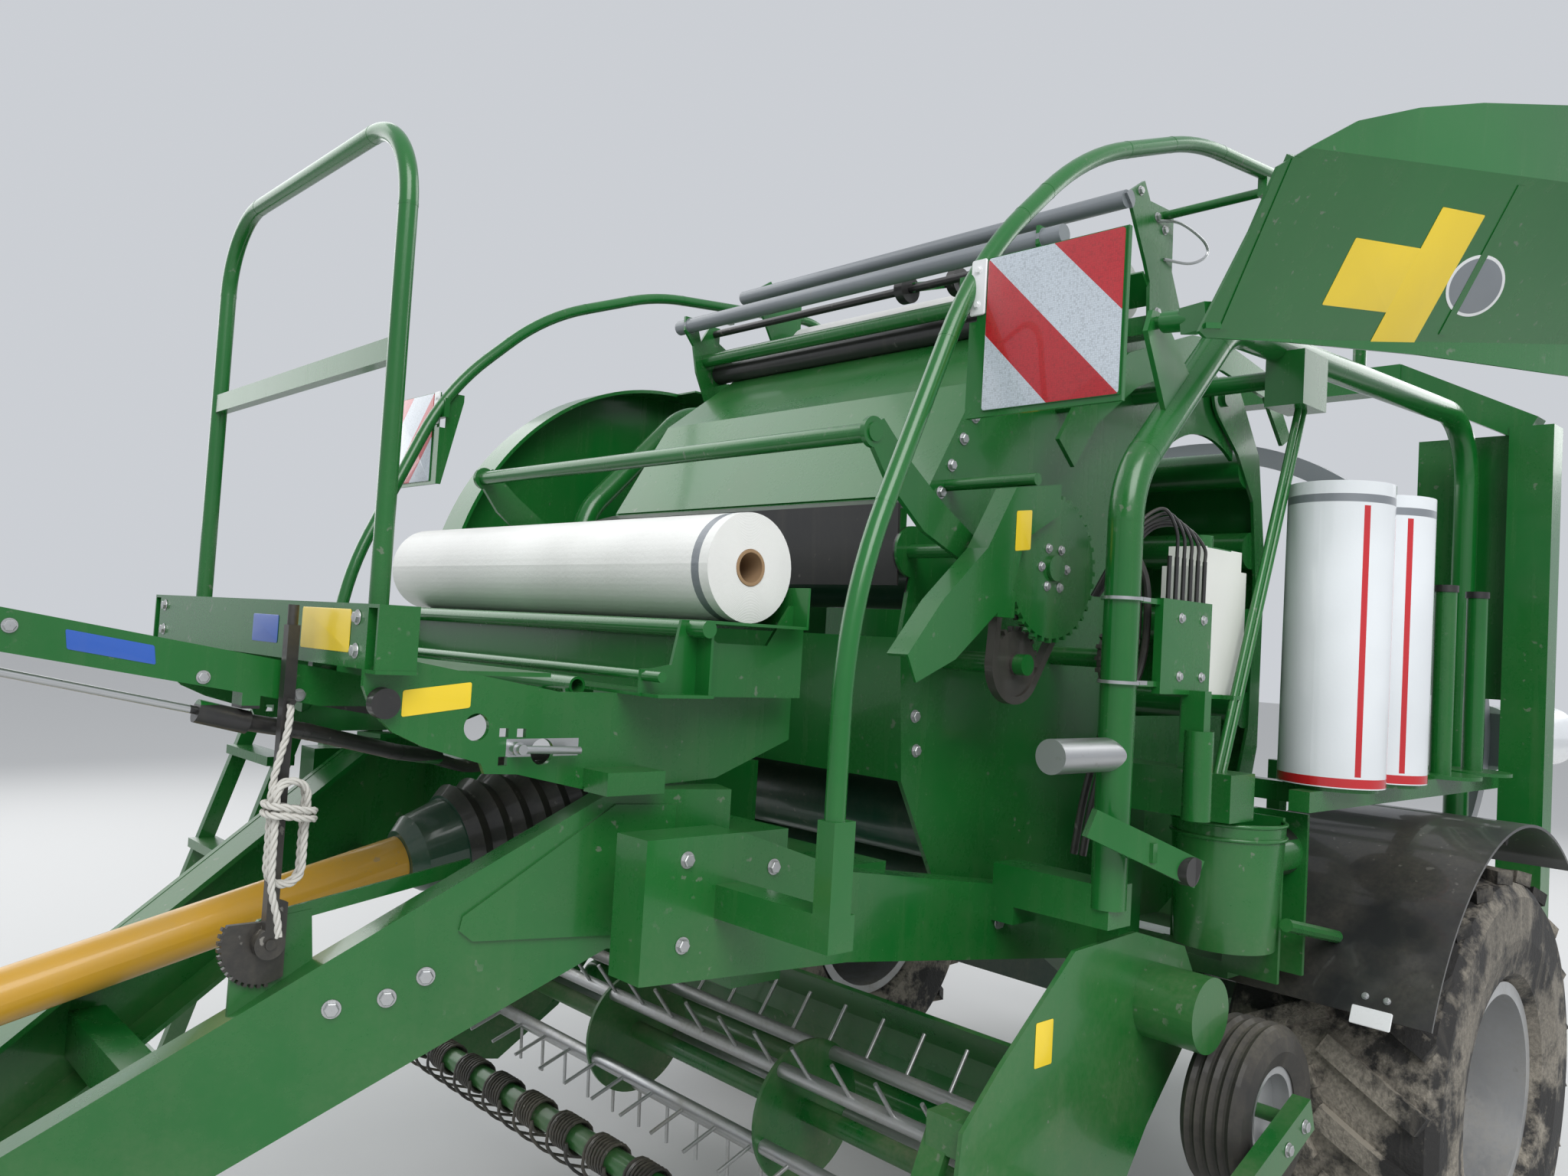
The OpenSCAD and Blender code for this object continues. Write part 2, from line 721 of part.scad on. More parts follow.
module marker_boards() {
    color(white) both() translate([board_x + 9, board_y, board_z]) cube([3, board, board]);
    color(green) both() difference() {
        union() {
            translate([board_x, board_y - 40, board_z - 10]) cube([9, board + 44, board + 12]);
            plate(board_y - 40, 4) polygon([
                [board_x + 8, board_z - 10], [board_x - 8, board_z - 10], [board_x - 70, board_z + board - 20],
                [board_x - 70, board_z + board + 2], [board_x + 8, board_z + board + 2]
            ]);
        }
        bow_tube();
        translate([board_x - 12, board_y - 45, board_z + 170]) cube([40, 22, 160]);
    }
    color(green) both() difference() {
        translate([board_x - 8, bow_y - 26, board_z + 200]) cube([17, 60, 60]);
        bow_tube();
    }
}

// Net unit on top of the chamber

net_plate = [
    [995, 2975], [910, 3033], [878, 2988], [755, 2993], [751, 2828], [695, 2730], [766, 2707],
    [777, 2639], [855, 2637], [863, 2774], [887, 2820], [970, 2953]
];
net_low_plate = [
    [1070, 2731], [1130, 2760], [1130, 2812], [1172, 2812], [1210, 2750], [1235, 2822], [1280, 2822],
    [1280, 2775], [1240, 2730], [1220, 2643], [1154, 2513], [1091, 2601]
];
net_near = 765;
net_far = 700;
module net_unit() {
    color(green) {
        plate(net_near, 10) polygon(net_plate);
        plate(-net_far - 10, 10) polygon(net_plate);
        both() {
            plate(net_far, 10) polygon(net_low_plate);
            translate([950, wall_out, 2560]) cube([190, net_far - wall_out + 2, 50]);
            translate([956, wall_out, 2600]) cube([30, net_far - wall_out, 92]);
        }
        translate([780, wall_out, 2640]) cube([60, net_near - wall_out + 2, 50]);
        translate([780, -net_far - 2, 2640]) cube([60, net_far - wall_out + 2, 50]);
        plate(-net_far - 2, net_far + net_near + 4)
            polygon([[890, 2792], [884, 2798], [820, 2726], [826, 2720]]);
        round_y(active_x, active_z, -net_far - 2, net_near + 2, 30);
        round_y(971, 2679, -net_far + 4, net_far - 4, 12);
        both() round_y(1018, 2581, net_far - 40, net_far + 30, 10);
        round_y(1180, 2690, -net_far - 2, net_far + 2, 22);
        plate(195, 10) polygon([[1156, 2774], [1162, 2800], [1000, 2853], [988, 2830]]);
    }
    color(black) {
        round_y(1120, 2655, -net_far - 2, net_far + 2, 34);
        round_y(1150, 2788, -net_far - 2, net_far + 2, 12);
        round_y(1150, 2788, 150, 180, 40);
        round_y(994, 2839, 210, 240, 40);
        round_y(994, 2839, 185, 246, 10);
    }
    color(grey)
        for (t = [[980, 2965], [1255, 2795]])
            round_y(t.x, t.y, -net_tube_half, net_near + 2, net_tube_r);
}

// Bale chamber

wall_outline = [
    [1420, 1150], [1590, 1450], [1620, 1780], [1560, 2120], [1380, 2420], [1120, 2620],
    [700, 2720], [260, 2700], [60, 2620], [60, 1180], [400, 1020], [900, 1030]
];
module chamber_shell() {
    color(green) {
        both() {
            plate(wall_y, wall_t) difference() {
                union() {
                    polygon(wall_outline);
                    translate([loader_x - 10, loader_z]) circle(r = 60);
                }
                translate([250, 2100]) circle(r = 370);
                translate([-10, 1600]) square([630, 500]);
            }
            round_y(loader_x, loader_z, wall_out - 1, loader_y + 12, loader_pin_r);
            round_y(gate_x, gate_z, wall_out - 1, wall_out + 30, gate_pin_r);
            plate(740, 12) polygon([
                [1212, 2295], [1119, 2429], [907, 2575], [580, 2694], [394, 2718], [79, 2675], [-78, 2502],
                [-20, 2470], [110, 2600], [394, 2630], [560, 2608], [860, 2492], [1046, 2360], [1140, 2235]
            ]);
            for (p = [[1040, 2420], [480, 2662]]) round_y(p.x, p.y, wall_out - 1, 744, 20);
            translate([860, wall_out - 1, 1010]) cube([160, rail_y - wall_out + 1, 120]);
            translate([100, wall_out - 1, 930]) cube([160, rail_y - wall_out + 1, 270]);
        }
        translate([1360, -wall_y - 1, 1120]) cube([60, 2 * wall_y + 2, 60]);
        for (p = [
            [[1560, 2120], [1380, 2420]], [[1380, 2420], [1120, 2620]], [[1120, 2620], [700, 2720]],
            [[700, 2720], [262, 2700]]
        ])
            plate(-wall_y - 1, 2 * wall_y + 2) polygon([p[0], p[1], p[1] - [12, 14], p[0] - [12, 14]]);
        plate(-wall_y - 1, 2 * wall_y + 2) polygon([[1590, 1450], [1620, 1780], [1606, 1780], [1576, 1452]]);
    }
    color(black) plate(-wall_y - 1, 2 * wall_y + 2)
        polygon([[1560, 2116], [1640, 2090], [1630, 1900], [1625, 1900], [1632, 2084], [1556, 2108]]);
}

roller_count = 7;
module chamber_rollers() {
    color(dark_green)
        for (i = [0 : roller_count - 1]) {
            a = -62 + i * 26;
            x = chamber_x + (bale_r + roller_r) * cos(a);
            z = chamber_z + (bale_r + roller_r) * sin(a);
            round_y(x, z, -wall_y + 0.01, wall_y - 0.01, roller_r);
        }
}

// Rear gate of the chamber, hinged at the top
gate_x = 160;
gate_z = 2600;
gate_pin_r = 25;
module rear_gate() {
    color(green) {
        both() difference() {
            plate(wall_out + 8, 10) union() {
                polygon([
                    [190, 2660], [60, 2640], [-90, 2450], [-160, 2100], [-160, 1500], [-60, 1180],
                    [60, 1080], [88, 1120], [0, 1300], [-90, 1560], [-100, 2040], [-60, 2300], [60, 2440], [200, 2540]
                ]);
                translate([gate_x, gate_z]) circle(r = 70);
            }
            round_y(gate_x, gate_z, wall_y, 800, gate_pin_r + run_gap);
        }
        plate(-wall_out - 9, 2 * (wall_out + 9)) polygon([
            [-90, 2450], [-160, 2100], [-160, 1500], [-60, 1180], [-48, 1186], [-148, 1504], [-148, 2098],
            [-80, 2444]
        ]);
        for (p = [[-30, 1330], [-74, 1620], [-74, 1890], [-74, 2140], [-24, 2400]])
            round_y(p.x, p.y, -wall_out - 9, wall_out + 9, 60);
    }
}

// Side frames with their braces

module arch() {
    tube([
        [1400, arch_y, 1230], [1400, arch_y, 2150], [985, arch_y, 2575], [-760, arch_y, 2650],
        [-760, arch_y, 900]
    ], arch_r, 220);
}

module side_frames() {
    color(green) {
        both() {
            arch();
            for (x = [-15, 15]) bar([1009 + x, arch_y + 40, 1500], [644 + x, arch_y + 40, 2440], 9);
            translate([930, rail_out, 1400]) cube([120, arch_y + 90 - rail_out, 110]);
            translate([990, arch_y - 60, 1505]) cube([30, 30, 180]);
            translate([850, arch_y - 95, 1680]) cube([230, 110, 10]);
            translate([915, arch_y + 14, 1680]) cube([50, 32, 10]);
            translate([880, rail_out, 1000]) cube([100, 60, 410]);
            translate([1340, rail_out, 1150]) cube([90, 60, 100]);
            translate([1340, rail_out, 1190]) cube([90, arch_y + 20 - rail_out, 90]);
            translate([590, arch_y - 20, 2430]) cube([140, 100, 140]);
            round_y(660, 2515, wall_out, arch_y, 24);
        }
        plate(arch_y + 4, 12) polygon([[1150, 2390], [1260, 2280], [1375, 2480], [1356, 2530], [1310, 2530]]);
        bar(door_pivot - door_axis * 66, door_pivot + door_axis * 62, door_pin_r);
        for (x = guard_hinge_x) {
            translate([x - 6, -arch_y - 52, 2570]) cube([12, 64, guard_hinge_z - 2570 + 12]);
            round_x(x - 50, x + 50, -guard_hinge_y, guard_hinge_z, guard_pin_r);
        }
    }
}

// Chain drive on the left side

sprocket_y = 850;
module gear(x, z, r, y, w, teeth) {
    plate(y, w) translate([x, z]) {
        circle(r = r - 8);
        for (i = [0 : teeth - 1]) rotate(i * 360 / teeth) translate([r - 14, -5]) square([16, 10]);
    }
}

module chain_loop(a, b, ra, rb, y) {
    d = b - a;
    n = norm(d);
    base = atan2(d.y, d.x);
    tilt = asin((ra - rb) / n);
    p = function(c, r, s) c + r * [cos(base + s * (90 - tilt)), sin(base + s * (90 - tilt))];
    plate(y, 22) difference() {
        union() {
            translate(a) circle(r = ra + 9);
            translate(b) circle(r = rb + 9);
            polygon([p(a, ra + 9, 1), p(b, rb + 9, 1), p(b, rb + 9, -1), p(a, ra + 9, -1)]);
        }
        translate(a) circle(r = ra - 9);
        translate(b) circle(r = rb - 9);
        polygon([p(a, ra - 9, 1), p(b, rb - 9, 1), p(b, rb - 9, -1), p(a, ra - 9, -1)]);
    }
}

module drive_chains() {
    color(green) {
        gear(1370, 1960, 170, sprocket_y, 12, 36);
        round_y(1370, 1960, wall_out, sprocket_y + 22, 30);
        gear(1370, 1960, 145, sprocket_y - 36, 12, 32);
        gear(1450, 1735, 85, sprocket_y - 36, 12, 18);
        round_y(1450, 1735, wall_out, sprocket_y + 10, 24);
        gear(1010, 1760, 95, sprocket_y - 36, 12, 20);
        round_y(1010, 1760, wall_out, sprocket_y - 10, 24);
    }
    color(grey) {
        chain_loop([1370, 1960], [1450, 1735], 142, 82, sprocket_y - 41);
    }
}

module chain_guard() {
    color(green) {
        plate(sprocket_y + 30, 6) polygon([
            [1390, 2150], [1560, 2120], [1650, 1980], [1790, 1860], [1890, 1745], [1860, 1690],
            [1740, 1740], [1560, 1880], [1520, 2010], [1390, 2080]
        ]);
        plate(sprocket_y - 20, 56) polygon([
            [1390, 2150], [1560, 2120], [1650, 1980], [1790, 1860], [1890, 1745], [1884, 1740],
            [1785, 1853], [1644, 1974], [1556, 2114], [1390, 2144]
        ]);
        bar([1560, wall_out, 1850], [1560, sprocket_y + 34, 1850], 14);
        bar([1480, wall_out, 2150], [1480, sprocket_y + 34, 2150], 14);
        translate([1545, sprocket_y + 28, 1836]) cube([60, 8, 60]);
    }
}

// Lubrication, oil tank and service pieces on the left side

module oil_tank() {
    color(white) {
        translate([855, arch_y - 92, 1690]) cube([220, 104, 300]);
        translate([875, arch_y - 88, 1989]) cube([180, 96, 50]);
        translate([990, arch_y - 40, 2038]) cylinder(h = 32, r = 28);
    }
}

bucket_x = 880;
bucket_y = 1065;
bucket_z = 1090;
module service_unit() {
    color(green) {
        difference() {
            union() {
                translate([1080, arch_y + 22, 1690]) cube([220, 20, 210]);
                for (z = [1705, 1885]) translate([1290, arch_y + 23, z]) cube([106, 11, 12]);
                translate([1385, arch_y + 20, 1345]) cube([30, 88, 40]);
            }
            arch();
        }
        difference() {
            translate([bucket_x, bucket_y, bucket_z]) cylinder(h = 300, r1 = 116, r2 = 132);
            translate([bucket_x, bucket_y, bucket_z + 4]) cylinder(h = 300, r1 = 112, r2 = 128);
        }
        for (z = [1388, 1355])
            translate([bucket_x, bucket_y, z]) rotate_extrude() translate([131, 0]) circle(r = 5);
        translate([1150, arch_y + 60, 1410]) cylinder(h = 200, r = 32);
        translate([1140, arch_y + 24, 1560]) cube([30, 56, 140]);
        beam([1534, 1090, 1424], [1300, 1205, 1320], 20, 60);
        translate([640, 1030, 1000]) cube([12, 130, 400]);
        translate([780, 1030, 1000]) cube([12, 130, 400]);
        translate([640, 1020, 1000]) cube([152, 14, 400]);
        translate([640, rail_out, 980]) cube([140, 1030 - rail_out + 1, 40]);
    }
    color(steel) {
        for (z = [1711, 1891])
            translate([1400, arch_y, z - 4]) difference() {
                cylinder(h = 8, r = arch_r + 7);
                translate([0, 0, -1]) cylinder(h = 10, r = arch_r + run_gap);
            }
        difference() {
            bar([1640, arch_y, 1557], [1400, arch_y, 1557], 36);
            arch();
        }
    }
    color(black) {
        round_y(1322, 1326, 1186, 1210, 30);
        round_x(651, 793, 1090, 1300, 62);
        for (i = [0 : 5])
            bar([1105 + 32 * i, arch_y + 32, 1895], [1105 + 32 * i, arch_y + 32, 1996], 5);
    }
}

// Spare film rolls on their rack

peg_x = [610, 325, -175, -460];
module film_rack() {
    color(green) {
        translate([-640, film_y - 25, film_rail_z - 60]) cube([1430, 50, 50]);
        for (x = peg_x) {
            translate([x, film_y, film_rail_z - 10.5]) cylinder(h = 10.5, r = 110);
            translate([x, film_y, film_rail_z - 1]) cylinder(h = 540, r = 30);
        }
        for (x = [560, 0, -620]) {
            translate([x, rail_out, film_rail_z - 60]) cube([50, film_y - rail_out, 50]);
            translate([x, rail_out, 850]) cube([50, 40, film_rail_z - 850]);
        }
    }
    color(black) for (x = [peg_x[2], peg_x[3]])
        translate([x, film_y, film_rail_z + 538]) cylinder(h = 20, r = 34);
}

module film_rolls() {
    color(white)
        for (x = [peg_x[0], peg_x[1]])
            difference() {
                translate([x, film_y, film_rail_z + seat_gap]) cylinder(h = film_len, r = film_r, $fn = 64);
                translate([x, film_y, film_rail_z - 1]) cylinder(h = film_len + 10, r = 38);
            }
}

// Wrapping unit

portal_x = rear_x;
portal_y = 1190;
module ring_frame() {
    color(green) {
        both() {
            translate([portal_x, portal_y, 760]) cube([100, 130, 1850]);
            translate([portal_x, 880, 1700]) cube([10, 311, 900]);
            beam([portal_x + 50, portal_y + 60, 2600], [portal_x + 50, 820, 2830], 90, 90);
        }
        translate([portal_x, -840, 2780]) cube([100, 1680, 90]);
    }
    roller_c = ring_out + 40.3;
    for (a = [35, 145, 215, 325]) {
        color(black) translate([-ring_x, roller_c * cos(a), ring_z + roller_c * sin(a)])
            rotate([0, 90, 0]) cylinder(h = 44, r = 40, center = true);
        color(green) round_x(-ring_x - 21, portal_x, roller_c * cos(a), ring_z + roller_c * sin(a), 15);
    }
}

spool_r = 1075;
module wrap_ring() {
    color(grey) round_ring();
    color(green)
        for (s = [-1, 1]) {
            translate([-ring_x - 60, s * spool_r - 90, ring_z - 90]) cube([32, 180, 180]);
            round_x(-ring_x - 850, -ring_x - 50, s * spool_r, ring_z, 30);
            round_x(-ring_x - 830, -ring_x - 50, s * (spool_r - 20), ring_z + 190, 28);
            translate([-ring_x - 60, s * (spool_r - 20) - 30, ring_z + 60]) cube([32, 60, 160]);
        }
}

module round_ring() {
    translate([-ring_x - 30, 0, ring_z]) rotate([0, 90, 0]) rotate_extrude($fn = 128)
        translate([ring_in, 0]) square([ring_out - ring_in, 60]);
}

module ring_film() {
    color(white)
        for (s = [-1, 1])
            translate([-ring_x - 70 - film_len, s * spool_r, ring_z]) rotate([0, 90, 0]) difference() {
                cylinder(h = film_len, r = 115, $fn = 64);
                translate([0, 0, -1]) cylinder(h = film_len + 2, r = 30 + seat_gap);
            }
}

table_x = -1900;
table_z = 730;
module wrap_table() {
    color(green) {
        both() difference() {
            plate(225, 30) polygon([
                [-1960, 700], [-1840, 690], [-1000, 790], [-1000, 860], [-1900, 860], [-1980, 800]
            ]);
            round_y(table_x, table_z, 200, 300, table_pin_r + run_gap);
        }
        for (x = [-1120, -1780]) translate([x, -560, 820]) cube([60, 1120, 50]);
        both() for (x = [-1120, -1780]) translate([x - 10, 550, 800]) cube([80, 14, 190]);
    }
    color(steel)
        for (x = [-1090, -1750])
            round_y(x, 955, -551, 551, table_roller_r - 20);
}

// Pickup

pivot_x = 800;
pivot_z = 780;
gauge_x = 1000;
gauge_y = 1195;
gauge_z = 770;
gauge_arm_y = 1305;
reel_x = 1560;
reel_z = 610;
reel_pin_r = 25;
gauge_pin_r = 16;
press_x = 1950;
press_z = 500;
shield = [
    [1500, 1150], [1260, 1160], [1040, 1100], [940, 950], [1180, 720], [1380, 470], [1600, 330],
    [1850, 380], [1880, 560], [1850, 860], [1740, 960]
];
module pickup_frame() {
    color(green) {
        both() {
            difference() {
                plate(pickup_half, 10) polygon(shield);
                round_y(reel_x, reel_z, 1000, 1100, reel_pin_r + run_gap);
            }
            round_y(1180, 1000, pickup_half + 9, pickup_half + 150, 82);
            difference() {
                plate(pickup_arm_y, 30) union() {
                    polygon([[800, 720], [1200, 530], [1250, 540], [1250, 600], [1210, 640], [830, 840]]);
                    translate([pivot_x, pivot_z]) circle(r = 60);
                }
                round_y(pivot_x, pivot_z, 700, 900, pivot_r + run_gap);
            }
            beam([gauge_x - 40, gauge_arm_y, gauge_z + 15], [1470, gauge_arm_y, 595], 40, 76);
            round_y(1440, 605, pickup_half + 9, gauge_arm_y + 18, 30);
            round_y(gauge_x, gauge_z, gauge_y - 66, gauge_arm_y - 15, gauge_pin_r);
        }
        round_y(1245, 560, -pickup_half - 1, pickup_half + 1, 40);
        round_y(press_x, press_z, -pickup_half + 58, pickup_half - 58, 30);
        both() beam([1805, pickup_half - 70, 845], [press_x + 15, pickup_half - 70, press_z], 20, 60);
        both() translate([1775, pickup_half - 90, 800]) cube([60, 91, 70]);
        plate(-pickup_half - 1, 2 * pickup_half + 2) polygon([
            [1245, 590], [1262, 690], [1300, 772], [1378, 862], [1370, 868], [1292, 776], [1253, 692],
            [1236, 590]
        ]);
    }
}

module pickup_reel() {
    color(green) round_y(reel_x, reel_z, -pickup_half - 8, pickup_half + 8, reel_pin_r);
    color(steel)
        for (row = [0 : 4]) {
            a = row * 72 + 20;
            translate([reel_x, 0, reel_z]) rotate([0, a, 0]) {
                round_y(150, 0, -pickup_half + 20, pickup_half - 20, 18);
                for (i = [0 : tines_per_row - 1])
                    translate([150, -pickup_half + 60 + i * (2 * pickup_half - 120) / (tines_per_row - 1), 0])
                        rotate([0, 90, 0]) cylinder(h = reel_r - 150, r = 5);
            }
        }
    color(green)
        for (y = [-pickup_half + 30, -350, 350, pickup_half - 30])
            round_y(reel_x, reel_z, y - 5, y + 5, 172);
}

module pickup_wheel(side) {
    color(rubber)
        translate([gauge_x, side * gauge_y, gauge_z]) rotate([90, 0, 0])
            rotate_extrude($fn = 64) polygon([
                [105, -62], [140, -74], [172, -70], [gauge_r - 8, -58], [gauge_r - 2, -50], [gauge_r - 8, -40],
                [gauge_r - 8, -34], [gauge_r, -26], [gauge_r - 8, -17], [gauge_r - 8, -10], [gauge_r, 0],
                [gauge_r - 8, 10], [gauge_r - 8, 17], [gauge_r, 26], [gauge_r - 8, 34], [gauge_r - 8, 40],
                [gauge_r - 2, 50], [gauge_r - 8, 58], [172, 70], [140, 74], [105, 62]
            ]);
    color(steel)
        translate([gauge_x, side * gauge_y, gauge_z]) rotate([90, 0, 0]) difference() {
            cylinder(h = 116, r = 104.95, center = true);
            cylinder(h = 200, r = gauge_pin_r + run_gap, center = true);
            translate([0, 0, 20]) cylinder(h = 100, r = 88);
            translate([0, 0, -120]) cylinder(h = 100, r = 88);
        }
}

// Guard doors

door_pivot = [1340, 1130, 2500];
door_axis = unit([0.127, 0.986, -0.109]);
door_chamfer = 35;
door_pin_r = 14;
door_t = 5;
door_lip = 22;
door_front = [1390, 1200];
crease = door_front + door_w * [-cos(door_chamfer), sin(door_chamfer)];
rear_panel = 190;

// Left guard door in its closed place
module door_left_closed() {
    color(green) difference() {
        union() {
            intersection() {
                translate([0, 0, door_pivot.z - door_h - 10]) linear_extrude(door_h + 60) polygon([
                    door_front + [110, 0], door_front, crease, crease + [-rear_panel - 10, 12],
                    crease + [-rear_panel - 10, 5], crease + [-2, -7], door_front + [-3, -6],
                    door_front + [110, -6]
                ]);
                plate(1100, 400) polygon([
                    [1390, door_pivot.z], [1397, 2233], [1422, 1773], [1451, 1421], [1482, door_pivot.z - door_h],
                    [870, door_pivot.z - door_h], [885, 1493], [917, 1861], [950, 2085], [996, 2286],
                    [1058, 2429], [1095, door_pivot.z], [1200, door_pivot.z + 2], [1378, door_pivot.z + 28]
                ]);
            }
            for (z = [door_pivot.z - 40, door_pivot.z - door_h * 0.55, door_pivot.z - door_h + 30])
                beam([door_front.x - 20, door_front.y + 6, z], [crease.x + 12, crease.y - 17, z], 18, 26);
            translate([door_pivot.x - 22, 1150, door_pivot.z - 26]) cube([56, 70, 46]);
            bar(door_pivot - door_axis * 36, door_pivot + door_axis * 66, 24);
        }
        bar(door_pivot - door_axis * 90, door_pivot + door_axis * 90, door_pin_r + run_gap);
    }
}

module door_left() {
    translate(door_pivot) rotate(a = door_open, v = door_axis) translate(-door_pivot) door_left_closed();
}

// Right side guard with its arched front edge, closed
guard_c = [895, 1770];
guard_side_y = 1360;
guard_hinge_x = [200, 700];
guard_hinge_y = 1100;
guard_hinge_z = 2676;
guard_pin_r = 12;
module door_right() {
    color(green) mirror([0, 1, 0]) difference() {
        union() {
            plate(guard_side_y, 8) difference() {
                union() {
                    translate(guard_c) circle(r = 920, $fn = 96);
                    translate([-640, 1500]) square([guard_c.x + 640, 1190]);
                }
                translate([-1000, 700]) square([3000, 800]);
            }
            plate(guard_side_y - 130, 131) difference() {
                translate(guard_c) circle(r = 920, $fn = 96);
                translate(guard_c) circle(r = 908, $fn = 96);
                translate([-1000, 700]) square([3000, 800]);
                translate([-1000, 700]) square([guard_c.x + 1000, 3000]);
            }
            translate([-640, guard_hinge_y + 18, 2684]) cube([guard_c.x + 640, guard_side_y - guard_hinge_y - 17, 6]);
            for (x = guard_hinge_x, s = [-1, 1]) {
                round_x(x + s * 27 - 18, x + s * 27 + 18, guard_hinge_y, guard_hinge_z, 18);
                translate([x + s * 27 - 18, guard_hinge_y, guard_hinge_z + 8]) cube([36, 30, 6]);
            }
        }
        for (x = guard_hinge_x)
            round_x(x - 60, x + 60, guard_hinge_y, guard_hinge_z, guard_pin_r + run_gap);
    }
}

home() main_frame();
home() axle();
home() drawbar();
home() hitch_ring();
home() jack_tube();
home() jack_leg();
home() tyre(1);  // tyre_left
home() rim(1);  // rim_left
home() tyre(-1);  // tyre_right
home() rim(-1);  // rim_right
home() mudguards();
home() drive_shaft();
home() hose_arm();
home() brake_sector();
home() brake_lever();
home() cord_run();
home() cord_hank();
home() platform();
home() handrail();
home() net_cradle();
home() net_roll();
home() roll_loader();
home() bow_tubes();
home() marker_boards();
home() net_unit();
home() chamber_shell();
home() chamber_rollers();
home() rear_gate();
home() side_frames();
home() drive_chains();
home() chain_guard();
home() oil_tank();
home() service_unit();
home() film_rack();
home() film_rolls();
home() ring_frame();
home() wrap_ring();
home() ring_film();
home() wrap_table();
home() pickup_frame();
home() pickup_reel();
home() pickup_wheel(1);  // pickup_wheel_left
home() pickup_wheel(-1);  // pickup_wheel_right
home() door_left();
home() door_right();
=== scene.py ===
# Dressing of the bale wrapper: camera, brake cord, finishes and small pieces round the fixed model.
import math

import bpy
import numpy as np
from mathutils import Matrix, Vector


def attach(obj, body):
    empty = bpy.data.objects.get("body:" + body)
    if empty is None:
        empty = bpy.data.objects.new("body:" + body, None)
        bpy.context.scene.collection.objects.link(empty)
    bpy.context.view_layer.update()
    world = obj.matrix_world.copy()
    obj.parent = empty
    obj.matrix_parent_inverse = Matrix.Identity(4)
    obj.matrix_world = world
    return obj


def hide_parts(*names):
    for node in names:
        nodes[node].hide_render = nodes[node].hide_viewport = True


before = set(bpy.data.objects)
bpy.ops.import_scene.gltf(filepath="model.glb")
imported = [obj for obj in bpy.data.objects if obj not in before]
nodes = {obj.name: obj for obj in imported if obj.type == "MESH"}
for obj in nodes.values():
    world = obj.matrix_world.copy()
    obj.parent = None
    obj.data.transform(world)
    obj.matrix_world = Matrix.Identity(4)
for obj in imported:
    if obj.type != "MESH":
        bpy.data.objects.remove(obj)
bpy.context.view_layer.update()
origin = np.array([4.3, 0.0, 0.48])  # hitch ring in the axle's frame, metres
sharpFrom = 35  # degrees between two faces from which their edge is sharp


# Moves a point of the axle's frame, in metres, to the model's frame
def at(x, y, z):
    return np.array([x, y, z]) - origin


# Camera, worked out from the photograph's straight edges
cameraSet = {
    "place": (3.66, 2.42, 1.76),
    "right": (-0.7296, 0.682, 0.0593),
    "ahead": (-0.68, -0.7314, 0.0436),
    "focal": 1538, "pictureWidth": 2048,  # both in dots of the picture
    "sensor": 36, "farthest": 200,
}


def makeCamera(s):
    cam = bpy.data.cameras.new("camera")
    cam.sensor_width = s["sensor"]
    cam.lens = s["focal"] / s["pictureWidth"] * s["sensor"]
    cam.clip_end = s["farthest"]
    obj = bpy.data.objects.new("camera", cam)
    bpy.context.scene.collection.objects.link(obj)
    ahead = Vector(s["ahead"]).normalized()
    right = Vector(s["right"]).normalized()
    right = (right - ahead * right.dot(ahead)).normalized()
    up = right.cross(ahead).normalized()
    turn = Matrix((right, up, -ahead)).transposed().to_4x4()
    turn.translation = Vector(at(*s["place"]))
    obj.matrix_world = turn
    bpy.context.scene.camera = obj


makeCamera(cameraSet)
print("camera ready")


# One mesh object out of (points, faces) pairs, which moves with the body
def addMesh(name, parts, body):
    verts, faces, count = [], [], 0
    for points, polygons in parts:
        verts.append(np.asarray(points, float))
        faces.extend([tuple(int(k) + count for k in polygon) for polygon in polygons])
        count += len(points)
    mesh = bpy.data.meshes.new(name)
    mesh.from_pydata(np.vstack(verts).tolist(), [], faces)
    mesh.validate()
    mesh.polygons.foreach_set("use_smooth", [True] * len(mesh.polygons))
    mesh.set_sharp_from_angle(angle=math.radians(sharpFrom))
    obj = bpy.data.objects.new(name, mesh)
    bpy.context.scene.collection.objects.link(obj)
    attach(obj, body)
    return obj


# Four-sided faces between neighbouring rows of points, where each row closes on itself
def gridFaces(rows, cols):
    i, j = np.meshgrid(np.arange(rows - 1) * cols, np.arange(cols), indexing="ij")
    k = (j + 1) % cols
    return np.stack([i + j, i + k, i + cols + k, i + cols + j], -1).reshape(-1, 4).tolist()


# Two side vectors at each point of a path, which turn as little as possible on the way
def pathFrames(path):
    path = np.asarray(path, float)
    tangent = np.gradient(path, axis=0)
    tangent /= np.linalg.norm(tangent, axis=1)[:, None]
    start = np.cross(tangent[0], (0.31, 0.91, 0.27))  # a slant that no path here follows
    normals = [start / np.linalg.norm(start)]
    for t in tangent[1:]:
        n = normals[-1] - t * normals[-1].dot(t)
        normals.append(n / np.linalg.norm(n))
    normals = np.array(normals)
    return normals, np.cross(tangent, normals)


# Round bar: path plus radius times (normal by cosine plus side by sine), with a flat face at each end
def tubePart(path, radius, sides):
    path = np.asarray(path, float)
    normal, side = pathFrames(path)
    a = np.linspace(0, 2 * np.pi, sides, endpoint=False)
    v = path[:, None, :] + radius * (
        normal[:, None, :] * np.cos(a)[None, :, None] + side[:, None, :] * np.sin(a)[None, :, None])
    ends = [list(range(sides))[::-1], [(len(path) - 1) * sides + k for k in range(sides)]]
    return v.reshape(-1, 3), gridFaces(len(path), sides) + ends


